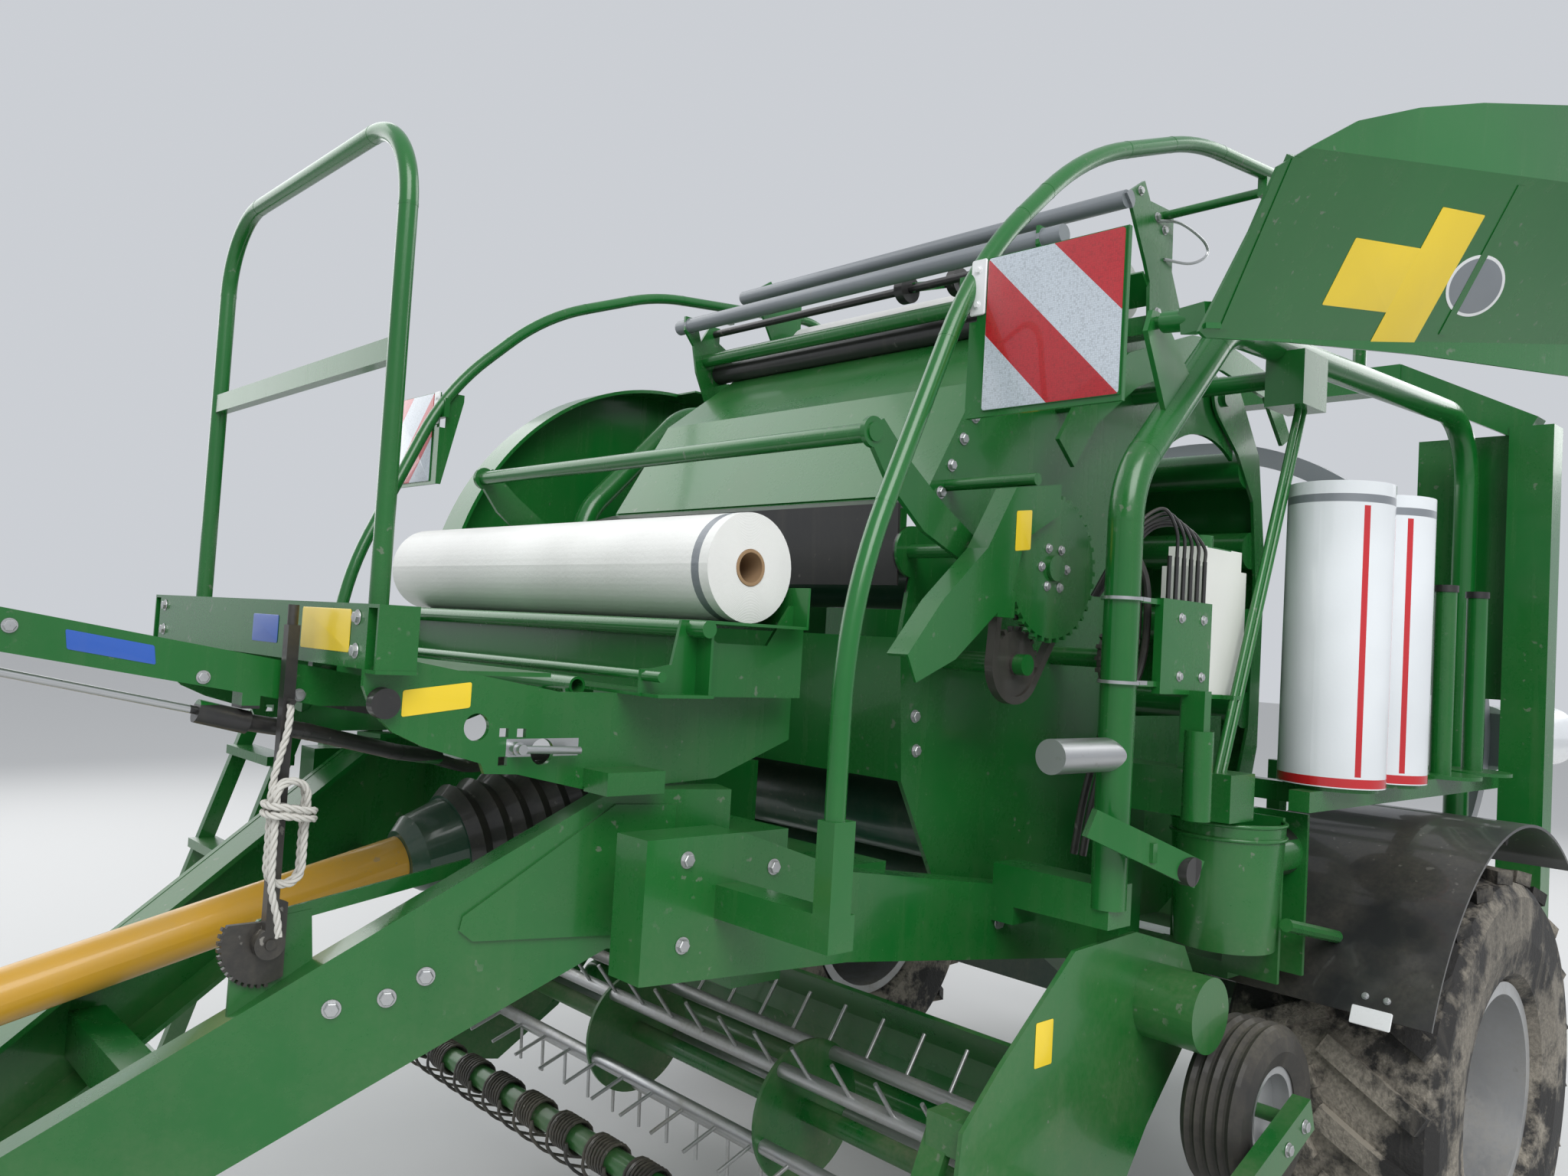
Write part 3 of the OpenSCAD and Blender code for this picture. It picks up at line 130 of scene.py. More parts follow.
# Smooth line through the points: a cubic between each two, sloped by their neighbours
def smoothLine(points, step):
    p = np.asarray(points, float)
    p = np.vstack([2 * p[0] - p[1], p, 2 * p[-1] - p[-2]])
    t = np.linspace(0, 1, step, endpoint=False)[:, None]
    out = []
    for i in range(1, len(p) - 2):
        a, b, c, d = p[i - 1], p[i], p[i + 1], p[i + 2]
        out.append(0.5 * (2 * b + (c - a) * t + (2 * a - 5 * b + 4 * c - d) * t ** 2
                          + (3 * b - a - 3 * c + d) * t ** 3))
    return np.vstack(out + [p[-2][None]])


# The same line with points at even distances, and its length
def evenLine(points, gap):
    p = np.asarray(points, float)
    run = np.concatenate([[0], np.cumsum(np.linalg.norm(np.diff(p, axis=0), axis=1))])
    s = np.linspace(0, run[-1], max(3, int(run[-1] / gap) + 1))
    return np.column_stack([np.interp(s, run, p[:, k]) for k in range(3)]), run[-1]


# Turned piece: a profile of (radius, height), swept round the axis from the place
def turnedPart(profile, place, axis, sides):
    axis = np.asarray(axis, float)
    axis = axis / np.linalg.norm(axis)
    u = np.cross(axis, (0.0, 0.0, 1.0) if abs(axis[2]) < 0.9 else (1.0, 0.0, 0.0))
    u /= np.linalg.norm(u)
    w = np.cross(axis, u)
    a = np.linspace(0, 2 * np.pi, sides, endpoint=False)
    pr = np.asarray(profile, float)
    ring = np.cos(a)[:, None] * u + np.sin(a)[:, None] * w
    v = np.asarray(place, float) + pr[:, 1][:, None, None] * axis + pr[:, 0][:, None, None] * ring[None]
    return v.reshape(-1, 3), gridFaces(len(pr), sides)


# Hexagon bolt head on its washer: two turned profiles in shares of the head's half width
def boltPart(place, axis, size):
    s = size
    foot, hole, crown = 0.001, 0.001, 0.0005  # washer's lower face, and the small open middle of the head
    washer = turnedPart([(0, foot), (s * 1.25, foot), (s * 1.3, s * 0.08), (s * 1.25, s * 0.2), (0, s * 0.2)],
                        place, axis, 20)
    head = turnedPart([(hole, s * 0.15), (s * 0.98, s * 0.15), (s, s * 0.22), (s, s * 0.72),
                       (s * 0.86, s * 0.82), (s * 0.5, s * 0.84), (crown, s * 0.84)], place, axis, 6)
    return [washer, head]


# Thin plate: an outline with quarter rounds at its corners, raised to the thickness with a narrow chamfer.
# It is given by its middle, the two half sides as vectors, its thickness and its corner radius.
def sheetPart(middle, halfU, halfV, thick, corner):
    inset, wall = 0.0012, 0.6  # chamfer's width, and the share of the thickness that stands straight
    m, u, v = (np.asarray(q, float) for q in (middle, halfU, halfV))
    lu, lv = np.linalg.norm(u), np.linalg.norm(v)
    n = np.cross(u, v)
    n /= np.linalg.norm(n)
    a = np.linspace(0, np.pi / 2, 5)
    outline = []
    for q, (su, sv) in enumerate(((1, 1), (-1, 1), (-1, -1), (1, -1))):
        t = a + q * np.pi / 2
        outline.append(np.column_stack([su * (lu - corner) + corner * np.cos(t),
                                        sv * (lv - corner) + corner * np.sin(t)]))
    o = np.vstack(outline)
    flat = m + o[:, :1] * (u / lu) + o[:, 1:] * (v / lv)
    inner = m + (o[:, :1] * (1 - inset / lu)) * (u / lu) + (o[:, 1:] * (1 - inset / lv)) * (v / lv)
    k = len(o)
    verts = np.vstack([flat, flat + n * thick * wall, inner + n * thick])
    return verts, gridFaces(3, k) + [list(range(2 * k, 3 * k)), list(range(k))[::-1]]


# Brake cord: three laid strands on one path, hung in a hank of two turns with its end down.
# Places in millimetres of the axle's frame; heights in down, up and last are measured from the top.
cordSet = {
    "lead": [(2890, 372, 1598.9), (2890, 372, 1578), (2893, 373, 1550), (2901, 374, 1515), (2909, 375, 1480)],
    "middle": 2886, "half": 26.5, "top": 1445, "low": 1323,  # loops of the hank
    "first": 375, "pitch": 13.5, "turns": 2,
    "down": [(0.02, 0), (0.1, -45), (0.18, -85)],  # share of the pitch, height
    "lowArc": [0, -35, -70, -110, -145, -180],  # degrees
    "up": [(0.58, -80), (0.66, -40)],
    "topArc": [180, 145, 110, 70, 35],
    "last": [(0.2, 0), (0.8, -45), (1.3, -100)],  # millimetres along the machine's width, height
    "tail": [(2911, 403.5, 1298), (2905, 404, 1270), (2897, 404, 1242), (2893, 404, 1212)],
    "tieRing": [(2926, 389), (2921, 369), (2909, 361.6), (2896, 370.5), (2886, 372), (2876, 370.5),
                (2863, 361.6), (2851, 369), (2846, 389), (2852, 411), (2870, 418), (2886, 419), (2902, 418),
                (2920, 411)],
    "tieTurns": [(1412, 6), (1426, 7)],  # height, tilt
    "diameter": 0.013, "lay": 0.052, "gap": 0.0035, "tieGap": 0.004,  # metres
}


# Three strands that touch one another, each turned round the line once in every lay
def ropeParts(line, s):
    d = s["diameter"]
    small = d / 2 / (1 + 2 / math.sqrt(3))
    off = d / 2 - small
    normal, side = pathFrames(line)
    run = np.concatenate([[0], np.cumsum(np.linalg.norm(np.diff(line, axis=0), axis=1))])
    parts = []
    for k in range(3):
        turn = 2 * np.pi * (run / s["lay"] + k / 3)
        strand = line + off * (normal * np.cos(turn)[:, None] + side * np.sin(turn)[:, None])
        parts.append(tubePart(strand, small, 8))
    return parts


def makeCord(s):
    pts = list(s["lead"])
    r, cx, p, top = s["half"], s["middle"], s["pitch"], s["top"]
    for k in range(s["turns"]):
        y = s["first"] + p * k
        pts += [(cx + r, y + share * p, top + z) for share, z in s["down"]]
        for a in np.radians(s["lowArc"]):  # each arc takes a quarter of the pitch
            pts.append((cx + r * math.cos(a), y + p * (0.25 - a / math.pi * 0.25),
                        s["low"] + r * math.sin(a)))
        pts += [(cx - r, y + share * p, top + z) for share, z in s["up"]]
        for a in np.radians(s["topArc"]):
            pts.append((cx + r * math.cos(a), y + p * (0.75 + (math.pi - a) / math.pi * 0.25),
                        top + r * math.sin(a)))
    y = s["first"] + p * s["turns"]
    pts += [(cx + r, y + across, top + z) for across, z in s["last"]] + s["tail"]
    line, length = evenLine(smoothLine(np.array(pts) / 1000.0, 10) - origin, s["gap"])
    cord = addMesh("brakeCord", ropeParts(line, s), "brake_lever")
    tie = []
    ring = np.array(s["tieRing"], float)
    a = np.arange(len(ring) + 1) % len(ring)
    for height, tilt in s["tieTurns"]:
        z = height + tilt * np.cos(np.linspace(0, 2 * np.pi, len(a)))
        loop = smoothLine(np.column_stack([ring[a], z]) / 1000.0, 8) - origin
        tie += ropeParts(evenLine(loop, s["tieGap"])[0], s)
    knot = addMesh("cordTie", tie, "brake_lever")
    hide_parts("cord_run", "cord_hank")
    print("cord length", round(length, 3))
    return cord, knot


cordPieces = makeCord(cordSet)
print("cord ready")


# Sets an input of a node: a socket is linked to it, and anything else is its value
def feed(tree, socket, value):
    if isinstance(value, bpy.types.NodeSocket):
        tree.links.new(value, socket)
    else:
        socket.default_value = value


# New node group with named inputs and outputs, its input node and its output node
def newGroup(name, inputs, outputs):
    group = bpy.data.node_groups.new(name, "ShaderNodeTree")
    for title, kind, value in inputs:
        sock = group.interface.new_socket(title, in_out="INPUT", socket_type=kind)
        sock.default_value = value
    for title, kind in outputs:
        group.interface.new_socket(title, in_out="OUTPUT", socket_type=kind)
    return group, group.nodes.new("NodeGroupInput"), group.nodes.new("NodeGroupOutput")


# A group placed in a tree, with its inputs set
def addGroup(tree, group, values):
    node = tree.nodes.new("ShaderNodeGroup")
    node.node_tree = group
    for title, value in values.items():
        feed(tree, node.inputs[title], value)
    return node


def addMath(tree, kind, a, b=None, clamp=False):
    node = tree.nodes.new("ShaderNodeMath")
    node.operation = kind
    node.use_clamp = clamp
    feed(tree, node.inputs[0], a)
    if b is not None:
        feed(tree, node.inputs[1], b)
    return node.outputs[0]


# Moves a value from the range low to high into the range toLow to toHigh, and holds it there
def addRange(tree, value, low, high, toLow, toHigh):
    node = tree.nodes.new("ShaderNodeMapRange")
    for title, entry in (("Value", value), ("From Min", low), ("From Max", high), ("To Min", toLow),
                         ("To Max", toHigh)):
        feed(tree, node.inputs[title], entry)
    return node.outputs[0]


def addNoise(tree, vector, scale, detail, rough):
    node = tree.nodes.new("ShaderNodeTexNoise")
    for title, entry in (("Vector", vector), ("Scale", scale), ("Detail", detail), ("Roughness", rough)):
        feed(tree, node.inputs[title], entry)
    return node.outputs["Fac"]


# Blend of two colours (RGBA) or two numbers (FLOAT)
def addMix(tree, kind, factor, a, b):
    node = tree.nodes.new("ShaderNodeMix")
    node.data_type = kind
    for title, entry in (("Factor", factor), ("A", a), ("B", b)):
        feed(tree, node.inputs[title], entry)
    return node.outputs["Result"]


# Object coordinates, and their three parts
def addCoord(tree):
    coord = tree.nodes.new("ShaderNodeTexCoord").outputs["Object"]
    return coord, addParts(tree, coord)


def addParts(tree, vector):
    node = tree.nodes.new("ShaderNodeSeparateXYZ")
    tree.links.new(vector, node.inputs[0])
    return node.outputs


# Dust on faces that look up, mud splashes near the ground, streaks that run down, and chips in the paint.
# The rows of four give a range and what it becomes; noise runs from 0 to 1, heights are above the ring.
dirtSet = {
    "patchDetail": (8, 0.65), "patchMiddle": 0.51,
    "upward": (-0.2, 1.0, 0.22, 1.0),  # by the Z of the face's normal
    "nearGround": (0.9, -0.35, 0.0, 0.6),  # by height
    "fine": (90, 5, 0.6), "speck": (0.3, 0.7, 0.55, 1.15),
    "stretch": (26, 26, 1.6), "streakNoise": (1.0, 4, 0.55), "streak": (0.55, 0.80, 0.0, 0.35),
    "steep": (0.5, 0.1, 0.0, 1.0),
    "toneNoise": (1.7, 3, 0.5), "tone": (0.3, 0.7, 0.88, 1.12),
    "chipNoise": (42, 4, 0.5), "chip": (0.66, 0.69, 0.0, 1.0), "chipPatch": (0.5, 0.58, 0.0, 1.0),
    "bare": (0.23, 0.22, 0.20, 1),  # colour under the paint
    "fullDust": 0.6, "dustRough": 0.85,
}


def dirtGroup(s):
    tint, number = "NodeSocketColor", "NodeSocketFloat"
    group, gin, gout = newGroup("dirt", [
        ("Color", tint, (0.1, 0.3, 0.1, 1)), ("Dust Color", tint, (0.35, 0.30, 0.22, 1)),
        ("Dust", number, 0.4), ("Scale", number, 3.0), ("Rough", number, 0.3), ("Low Mud", number, 0.5),
        ("Wear", number, 0.3), ("Spread", number, 0.15)],
        [("Color", tint), ("Roughness", number), ("Mask", number), ("Height", number)])
    given = gin.outputs
    coord, place = addCoord(group)
    normal = addParts(group, group.nodes.new("ShaderNodeNewGeometry").outputs["Normal"])
    big = addNoise(group, coord, given["Scale"], *s["patchDetail"])
    fine = addNoise(group, coord, *s["fine"])
    fallen = addMath(group, "MULTIPLY", addRange(group, normal["Z"], *s["upward"]), given["Dust"])
    thrown = addMath(group, "MULTIPLY", addRange(group, place["Z"], *s["nearGround"]), given["Low Mud"])
    spot = addRange(group, big, addMath(group, "SUBTRACT", s["patchMiddle"], given["Spread"]),
                    addMath(group, "ADD", s["patchMiddle"], given["Spread"]), 0.0, 1.0)
    spot = addMath(group, "MULTIPLY", spot, addRange(group, fine, *s["speck"]))
    dusty = addMath(group, "MULTIPLY", spot, addMath(group, "ADD", fallen, thrown))
    stretch = group.nodes.new("ShaderNodeMapping")
    stretch.inputs["Scale"].default_value = s["stretch"]
    group.links.new(coord, stretch.inputs["Vector"])
    streak = addRange(group, addNoise(group, stretch.outputs[0], *s["streakNoise"]), *s["streak"])
    streak = addMath(group, "MULTIPLY", streak, addRange(group, normal["Z"], *s["steep"]))
    mask = addMath(group, "ADD", dusty, addMath(group, "MULTIPLY", streak, given["Dust"]), True)
    tone = group.nodes.new("ShaderNodeHueSaturation")
    feed(group, tone.inputs["Value"], addRange(group, addNoise(group, coord, *s["toneNoise"]), *s["tone"]))
    feed(group, tone.inputs["Color"], given["Color"])
    chip = addMath(group, "MULTIPLY", addRange(group, addNoise(group, coord, *s["chipNoise"]), *s["chip"]),
                   addRange(group, big, *s["chipPatch"]))
    worn = addMix(group, "RGBA", addMath(group, "MULTIPLY", chip, given["Wear"], True), tone.outputs["Color"],
                  s["bare"])
    for title, value in (
            ("Color", addMix(group, "RGBA", mask, worn, given["Dust Color"])),
            ("Roughness", addRange(group, mask, 0.0, s["fullDust"], given["Rough"], s["dustRough"])),
            ("Mask", mask), ("Height", addMath(group, "ADD", fine, mask))):
        group.links.new(value, gout.inputs[title])
    return group


# 1 inside a turned box or round bar, 0 outside; Round picks the round bar along the zone's own X
def zoneGroup():
    group, gin, gout = newGroup("zone", [
        ("Place", "NodeSocketVector", (0, 0, 0)), ("Turn", "NodeSocketVector", (0, 0, 0)),
        ("Half", "NodeSocketVector", (1, 1, 1)), ("Round", "NodeSocketFloat", 0.0)],
        [("Inside", "NodeSocketFloat")])
    coord = group.nodes.new("ShaderNodeTexCoord").outputs["Object"]
    shift = group.nodes.new("ShaderNodeMapping")
    shift.vector_type = "TEXTURE"
    group.links.new(coord, shift.inputs["Vector"])
    for title, name in (("Location", "Place"), ("Rotation", "Turn"), ("Scale", "Half")):
        group.links.new(gin.outputs[name], shift.inputs[title])
    size = group.nodes.new("ShaderNodeVectorMath")
    size.operation = "ABSOLUTE"
    group.links.new(shift.outputs[0], size.inputs[0])
    part = addParts(group, size.outputs[0])
    boxy = addMath(group, "MAXIMUM", part["Y"], part["Z"])
    rounded = addMath(group, "SQRT", addMath(group, "ADD", addMath(group, "MULTIPLY", part["Y"], part["Y"]),
                                             addMath(group, "MULTIPLY", part["Z"], part["Z"])))
    across = addMath(group, "ADD", boxy, addMath(group, "MULTIPLY", gin.outputs["Round"],
                                                 addMath(group, "SUBTRACT", rounded, boxy)))
    inside = addMath(group, "LESS_THAN", addMath(group, "MAXIMUM", part["X"], across), 1.0)
    group.links.new(inside, gout.inputs["Inside"])
    return group


dirt = dirtGroup(dirtSet)
zone = zoneGroup()
paint = {
    "green": {"color": (0.005, 0.125, 0.018), "rough": 0.25, "metallic": 0.0},
    "darkGreen": {"color": (0.006, 0.055, 0.03), "rough": 0.3, "metallic": 0.0},
    "black": {"color": (0.014, 0.014, 0.015), "rough": 0.42, "metallic": 0.0},
    "rubber": {"color": (0.021, 0.020, 0.019), "rough": 0.72, "metallic": 0.0},
    "steel": {"color": (0.50, 0.51, 0.52), "rough": 0.32, "metallic": 0.85},
    "chain": {"color": (0.10, 0.095, 0.085), "rough": 0.5, "metallic": 0.7},
    "rim": {"color": (0.50, 0.51, 0.52), "rough": 0.33, "metallic": 0.7},
    "yellow": {"color": (0.62, 0.33, 0.02), "rough": 0.38, "metallic": 0.0},
    "grey": {"color": (0.20, 0.22, 0.24), "rough": 0.4, "metallic": 0.1},
    "white": {"color": (0.80, 0.81, 0.81), "rough": 0.25, "metallic": 0.0},
    "film": {"color": (0.74, 0.77, 0.79), "rough": 0.14, "metallic": 0.0},
    "net": {"color": (0.79, 0.79, 0.76), "rough": 0.5, "metallic": 0.0},
    "tank": {"color": (0.70, 0.71, 0.66), "rough": 0.35, "metallic": 0.0},
    "cord": {"color": (0.60, 0.585, 0.54), "rough": 0.9, "metallic": 0.0},
    "card": {"color": (0.30, 0.19, 0.10), "rough": 0.85, "metallic": 0.0},
    "sign": {"color": (0.86, 0.62, 0.02), "rough": 0.3, "metallic": 0.0},
    "blue": {"color": (0.02, 0.10, 0.45), "rough": 0.3, "metallic": 0.0},
    "red": {"color": (0.52, 0.012, 0.018), "rough": 0.25, "metallic": 0.0},
}
coatRough = 0.08


def newMaterial(name):
    mat = bpy.data.materials.new(name)
    mat.use_nodes = True
    return mat, mat.node_tree, mat.node_tree.nodes["Principled BSDF"].inputs


# Colour and roughness of the dirt group on the surface, and a bump by the height
def addSurface(tree, surface, group, height, bump, distance):
    node = tree.nodes.new("ShaderNodeBump")
    node.inputs["Strength"].default_value = bump
    node.inputs["Distance"].default_value = distance
    tree.links.new(height, node.inputs["Height"])
    tree.links.new(node.outputs["Normal"], surface["Normal"])
    tree.links.new(group.outputs["Color"], surface["Base Color"])
    tree.links.new(group.outputs["Roughness"], surface["Roughness"])


# A finish whose paint changes by zones, each (paint, place, half sizes, turn, round) in the axle's frame
def zonedMaterial(name, base, zones=(), dust=0.3, dustColor=(0.33, 0.29, 0.21), coat=0.3, bump=0.06,
                  scale=3.0, lowMud=0.5, wear=0.4, distance=0.002, height=None, spread=0.15):
    mat, tree, surface = newMaterial(name)
    color, rough, metal = (*paint[base]["color"], 1), paint[base]["rough"], paint[base]["metallic"]
    group = addGroup(tree, dirt, {
        "Color": color, "Rough": rough, "Dust Color": (*dustColor, 1), "Dust": dust, "Scale": scale,
        "Low Mud": lowMud, "Wear": wear, "Spread": spread})
    surface["Metallic"].default_value = metal
    for key, place, half, turn, roundness in zones:
        inside = addGroup(tree, zone, {
            "Place": tuple(at(*place)), "Half": half, "Turn": turn, "Round": roundness}).outputs[0]
        other = paint[key]
        color = addMix(tree, "RGBA", inside, color, (*other["color"], 1))
        rough = addMix(tree, "FLOAT", inside, rough, other["rough"])
        metal = addMix(tree, "FLOAT", inside, metal, other["metallic"])
    if zones:
        tree.links.new(color, group.inputs["Color"])
        tree.links.new(rough, group.inputs["Rough"])
        tree.links.new(metal, surface["Metallic"])
    surface["Coat Weight"].default_value = coat
    surface["Coat Roughness"].default_value = coatRough
    relief = height(tree, group) if height else group.outputs["Height"]
    addSurface(tree, surface, group, relief, bump, distance)
    return mat


# Wound layers on the ends of a roll, as rings round its axis
def windings(place, direction, scale, distortion):
    def height(tree, group):
        shift = tree.nodes.new("ShaderNodeMapping")
        shift.inputs["Location"].default_value = tuple(-v for v in at(*place))
        tree.links.new(tree.nodes.new("ShaderNodeTexCoord").outputs["Object"], shift.inputs["Vector"])
        wave = tree.nodes.new("ShaderNodeTexWave")
        wave.wave_type = "RINGS"
        wave.rings_direction = direction
        wave.inputs["Scale"].default_value = scale
        wave.inputs["Distortion"].default_value = distortion
        tree.links.new(shift.outputs[0], wave.inputs["Vector"])
        return addMath(tree, "ADD", wave.outputs["Fac"], group.outputs["Height"])
    return height


# Drive shaft's line in the axle's frame
shaftSet = {"upper": (2.450, 0, 1.252), "lower": (4.075, 0, 0.842)}
shaftTurn = (0, math.atan2(shaftSet["upper"][2] - shaftSet["lower"][2],
                           shaftSet["lower"][0] - shaftSet["upper"][0]), 0)
rodTurn = (0, -math.atan2(0.157, 0.78), 0)  # rise and run of the rod over the hose arm


# Point on the drive shaft's line, by the distance behind its upper end
def onShaft(back):
    upper = np.array(shaftSet["upper"])
    t = upper - np.array(shaftSet["lower"])
    return tuple(upper + t / np.linalg.norm(t) * back)


def boxZone(look, place, half, turn=(0, 0, 0)):
    return look, place, half, turn, 0.0


# Round bar, which lies across the machine unless another turn is given
def barZone(look, place, half, radius, turn=(0, 0, math.pi / 2)):
    return look, place, (half, radius, radius), turn, 1.0


finish = {
    "green": zonedMaterial("greenPaint", "green", dust=0.1, coat=0.25),
    "darkGreen": zonedMaterial("darkGreenPaint", "darkGreen"),
    "blackPlastic": zonedMaterial("blackPlastic", "black", dust=0.14, bump=0.05, coat=0.4, lowMud=0.35),
    "tyre": zonedMaterial("tyreRubber", "rubber", dust=1.0, dustColor=(0.30, 0.27, 0.22), bump=0.5,
                          lowMud=1.5, scale=6.0, coat=0.0, distance=0.006, wear=0.0, spread=0.05),
    "rim": zonedMaterial("rimSilver", "rim", dust=0.4, lowMud=0.5, scale=6.0, coat=0.1),
    "steel": zonedMaterial("zincSteel", "steel", dust=0.35, coat=0.0),
    "film": zonedMaterial("stretchFilm", "film", [
        boxZone("grey", (0.61, 1.195, 2.188), (0.5, 0.3, 0.010)),
        boxZone("red", (0.61, 1.195, 1.494), (0.5, 0.3, 0.011)),
        boxZone("red", (0.690, 1.291, 1.84), (0.006, 0.006, 0.33)),
        boxZone("red", (0.405, 1.291, 1.84), (0.006, 0.006, 0.33))],
        dust=0.05, coat=0.6, lowMud=0.1, wear=0.0, bump=0.12, scale=9.0),
    "ringFilm": zonedMaterial("stretchFilmUsed", "film", dust=0.1, coat=0.6, lowMud=0.1, wear=0.0, bump=0.12,
                              scale=9.0),
    "net": zonedMaterial("netFilm", "net", [barZone("grey", (2.1, 0.6, 1.9), 0.012, 0.2)], dust=0.12,
                         lowMud=0.1, wear=0.0, coat=0.1, bump=0.5, distance=0.001,
                         height=windings((2.1, 0, 1.9), "Y", 150.0, 1.5)),
    "tank": zonedMaterial("milkyPlastic", "tank", [boxZone("green", (0.99, 1.02, 2.056), (0.06, 0.06, 0.02))],
                          dust=0.12, wear=0.0, coat=0.2),
    "cord": zonedMaterial("cordFibre", "cord", dust=0.2, coat=0.0, wear=0.0, bump=0.6, scale=30.0),
    "card": zonedMaterial("cardCore", "card", dust=0.1, coat=0.0, wear=0.0),
    "chain": zonedMaterial("chainDrive", "green", [boxZone("chain", (1.41, 0.820, 1.85), (0.5, 0.0142, 0.5))],
                           dust=0.18),
    "shaft": zonedMaterial("shaftGuard", "yellow", [
        barZone("black", onShaft(-1.71), 0.16, 0.1, shaftTurn),
        barZone("steel", onShaft(-1.79), 0.055, 0.04, shaftTurn),
        boxZone("darkGreen", onShaft(0.012), (0.058, 0.2, 0.2), shaftTurn),
        boxZone("black", onShaft(0.27), (0.2, 0.2, 0.2), shaftTurn),
        boxZone("green", (4.0, 0, 0.69), (0.03, 0.08, 0.117))], dust=0.2, coat=0.3),
    "hose": zonedMaterial("hoseArmFinish", "green", [
        barZone("steel", (3.40, 0.3, 1.6595), 0.42, 0.0085, rodTurn),
        boxZone("black", (2.73, 0.25, 1.535), (0.30, 0.10, 0.058))], dust=0.12, coat=0.25),
    "platform": zonedMaterial("platformFinish", "green", [
        boxZone("steel", (2.51, 0.594, 1.540), (0.075, 0.024, 0.016)),
        barZone("black", (2.82, 0.58, 1.618), 0.0105, 0.026),
        barZone("black", (2.82, -0.58, 1.618), 0.0105, 0.026)], dust=0.12, coat=0.25),
    "netUnit": zonedMaterial("netUnitFinish", "green", [
        barZone("grey", (0.98, 0, 2.965), 0.8, 0.026), barZone("grey", (1.255, 0, 2.795), 0.8, 0.026),
        barZone("black", (1.12, 0, 2.655), 0.699, 0.036), barZone("black", (1.15, 0, 2.788), 0.699, 0.014),
        barZone("black", (1.15, 0.165, 2.788), 0.017, 0.042),
        barZone("black", (0.994, 0.226, 2.839), 0.0215, 0.042)], dust=0.12, coat=0.25),
    "service": zonedMaterial("serviceFinish", "green", [
        boxZone("steel", (1.4, 1.06, 1.714), (0.06, 0.0475, 0.006)),
        boxZone("steel", (1.4, 1.06, 1.894), (0.06, 0.0475, 0.006)),
        barZone("steel", (1.53, 1.06, 1.557), 0.12, 0.038, (0, 0, 0)),
        barZone("black", (1.322, 1.2, 1.326), 0.016, 0.031),
        boxZone("black", (0.722, 1.09, 1.30), (0.066, 0.05, 0.064)),
        boxZone("black", (1.185, 1.092, 1.95), (0.1, 0.012, 0.05))], dust=0.12, coat=0.25),
    "shell": zonedMaterial("chamberFinish", "green", [boxZone("black", (1.62, 0, 2.0), (0.045, 0.62, 0.115))],
                           dust=0.12, coat=0.25),
    "rack": zonedMaterial("rackFinish", "green", [
        boxZone("black", (-0.065, 1.195, 2.0295), (0.04, 0.04, 0.012)),
        boxZone("black", (-0.2575, 1.195, 2.0295), (0.3, 0.04, 0.012))], dust=0.15, coat=0.2),
    "ringFrame": zonedMaterial("ringFrameFinish", "green", [
        boxZone("black", (-0.9, 0, 1.56), (0.0225, 1.3, 1.3))], dust=0.15, coat=0.2),
    "ring": zonedMaterial("ringFinish", "green", [
        boxZone("grey", (-0.9, 0, 1.56), (0.0302, 1.2, 1.2))], dust=0.15, coat=0.2),
    "table": zonedMaterial("tableFinish", "green", [
        barZone("steel", (-1.09, 0, 0.955), 0.549, 0.082),
        barZone("steel", (-1.75, 0, 0.955), 0.549, 0.082)], dust=0.35, coat=0.2),
    "reel": zonedMaterial("reelFinish", "steel", [
        barZone("green", (1.56, 0, 0.61), 1.06, 0.03),
        *(barZone("green", (1.56, y, 0.61), 0.0056, 0.1725) for y in (1.01, -1.01, 0.35, -0.35))],
        dust=0.4, coat=0.1),
    "gauge": zonedMaterial("gaugeWheelFinish", "rubber", [
        barZone("rim", (1.0, y, 0.77), 0.0581, 0.10498) for y in (1.195, -1.195)],
        dust=0.18, lowMud=0.3, bump=0.2, coat=0.1, wear=0.0),
    "lever": zonedMaterial("leverBlack", "black", dust=0.3, coat=0.2, wear=1.0),
    "sign": zonedMaterial("signYellow", "sign", dust=0.08, coat=0.3, wear=0.0, lowMud=0.2),
    "blue": zonedMaterial("signBlue", "blue", dust=0.08, coat=0.3, wear=0.0, lowMud=0.2),
    "pale": zonedMaterial("signPale", "white", dust=0.1, coat=0.3, wear=0.0, lowMud=0.2),
    "greySign": zonedMaterial("signGrey", "grey", dust=0.05, coat=0.3, wear=0.0, lowMud=0.2),
}
nodeFinish = {  # nodes that aren't named here are green
    "axle": "darkGreen", "jack_leg": "steel", "tyre_left": "tyre", "tyre_right": "tyre", "rim_left": "rim",
    "rim_right": "rim", "mudguards": "blackPlastic", "drive_shaft": "shaft", "hose_arm": "hose",
    "brake_sector": "lever", "brake_lever": "lever", "cord_run": "cord", "cord_hank": "cord",
    "platform": "platform", "net_roll": "net", "net_unit": "netUnit", "chamber_shell": "shell",
    "chamber_rollers": "darkGreen", "drive_chains": "chain", "oil_tank": "tank", "service_unit": "service",
    "film_rack": "rack", "film_rolls": "film", "ring_frame": "ringFrame", "wrap_ring": "ring",
    "ring_film": "ringFilm", "wrap_table": "table", "pickup_reel": "reel", "pickup_wheel_left": "gauge",
    "pickup_wheel_right": "gauge",
}
for name, obj in nodes.items():
    obj.data.materials.clear()
    obj.data.materials.append(finish[nodeFinish.get(name, "green")])
for piece in cordPieces:
    piece.data.materials.append(finish["cord"])
print("finishes ready")


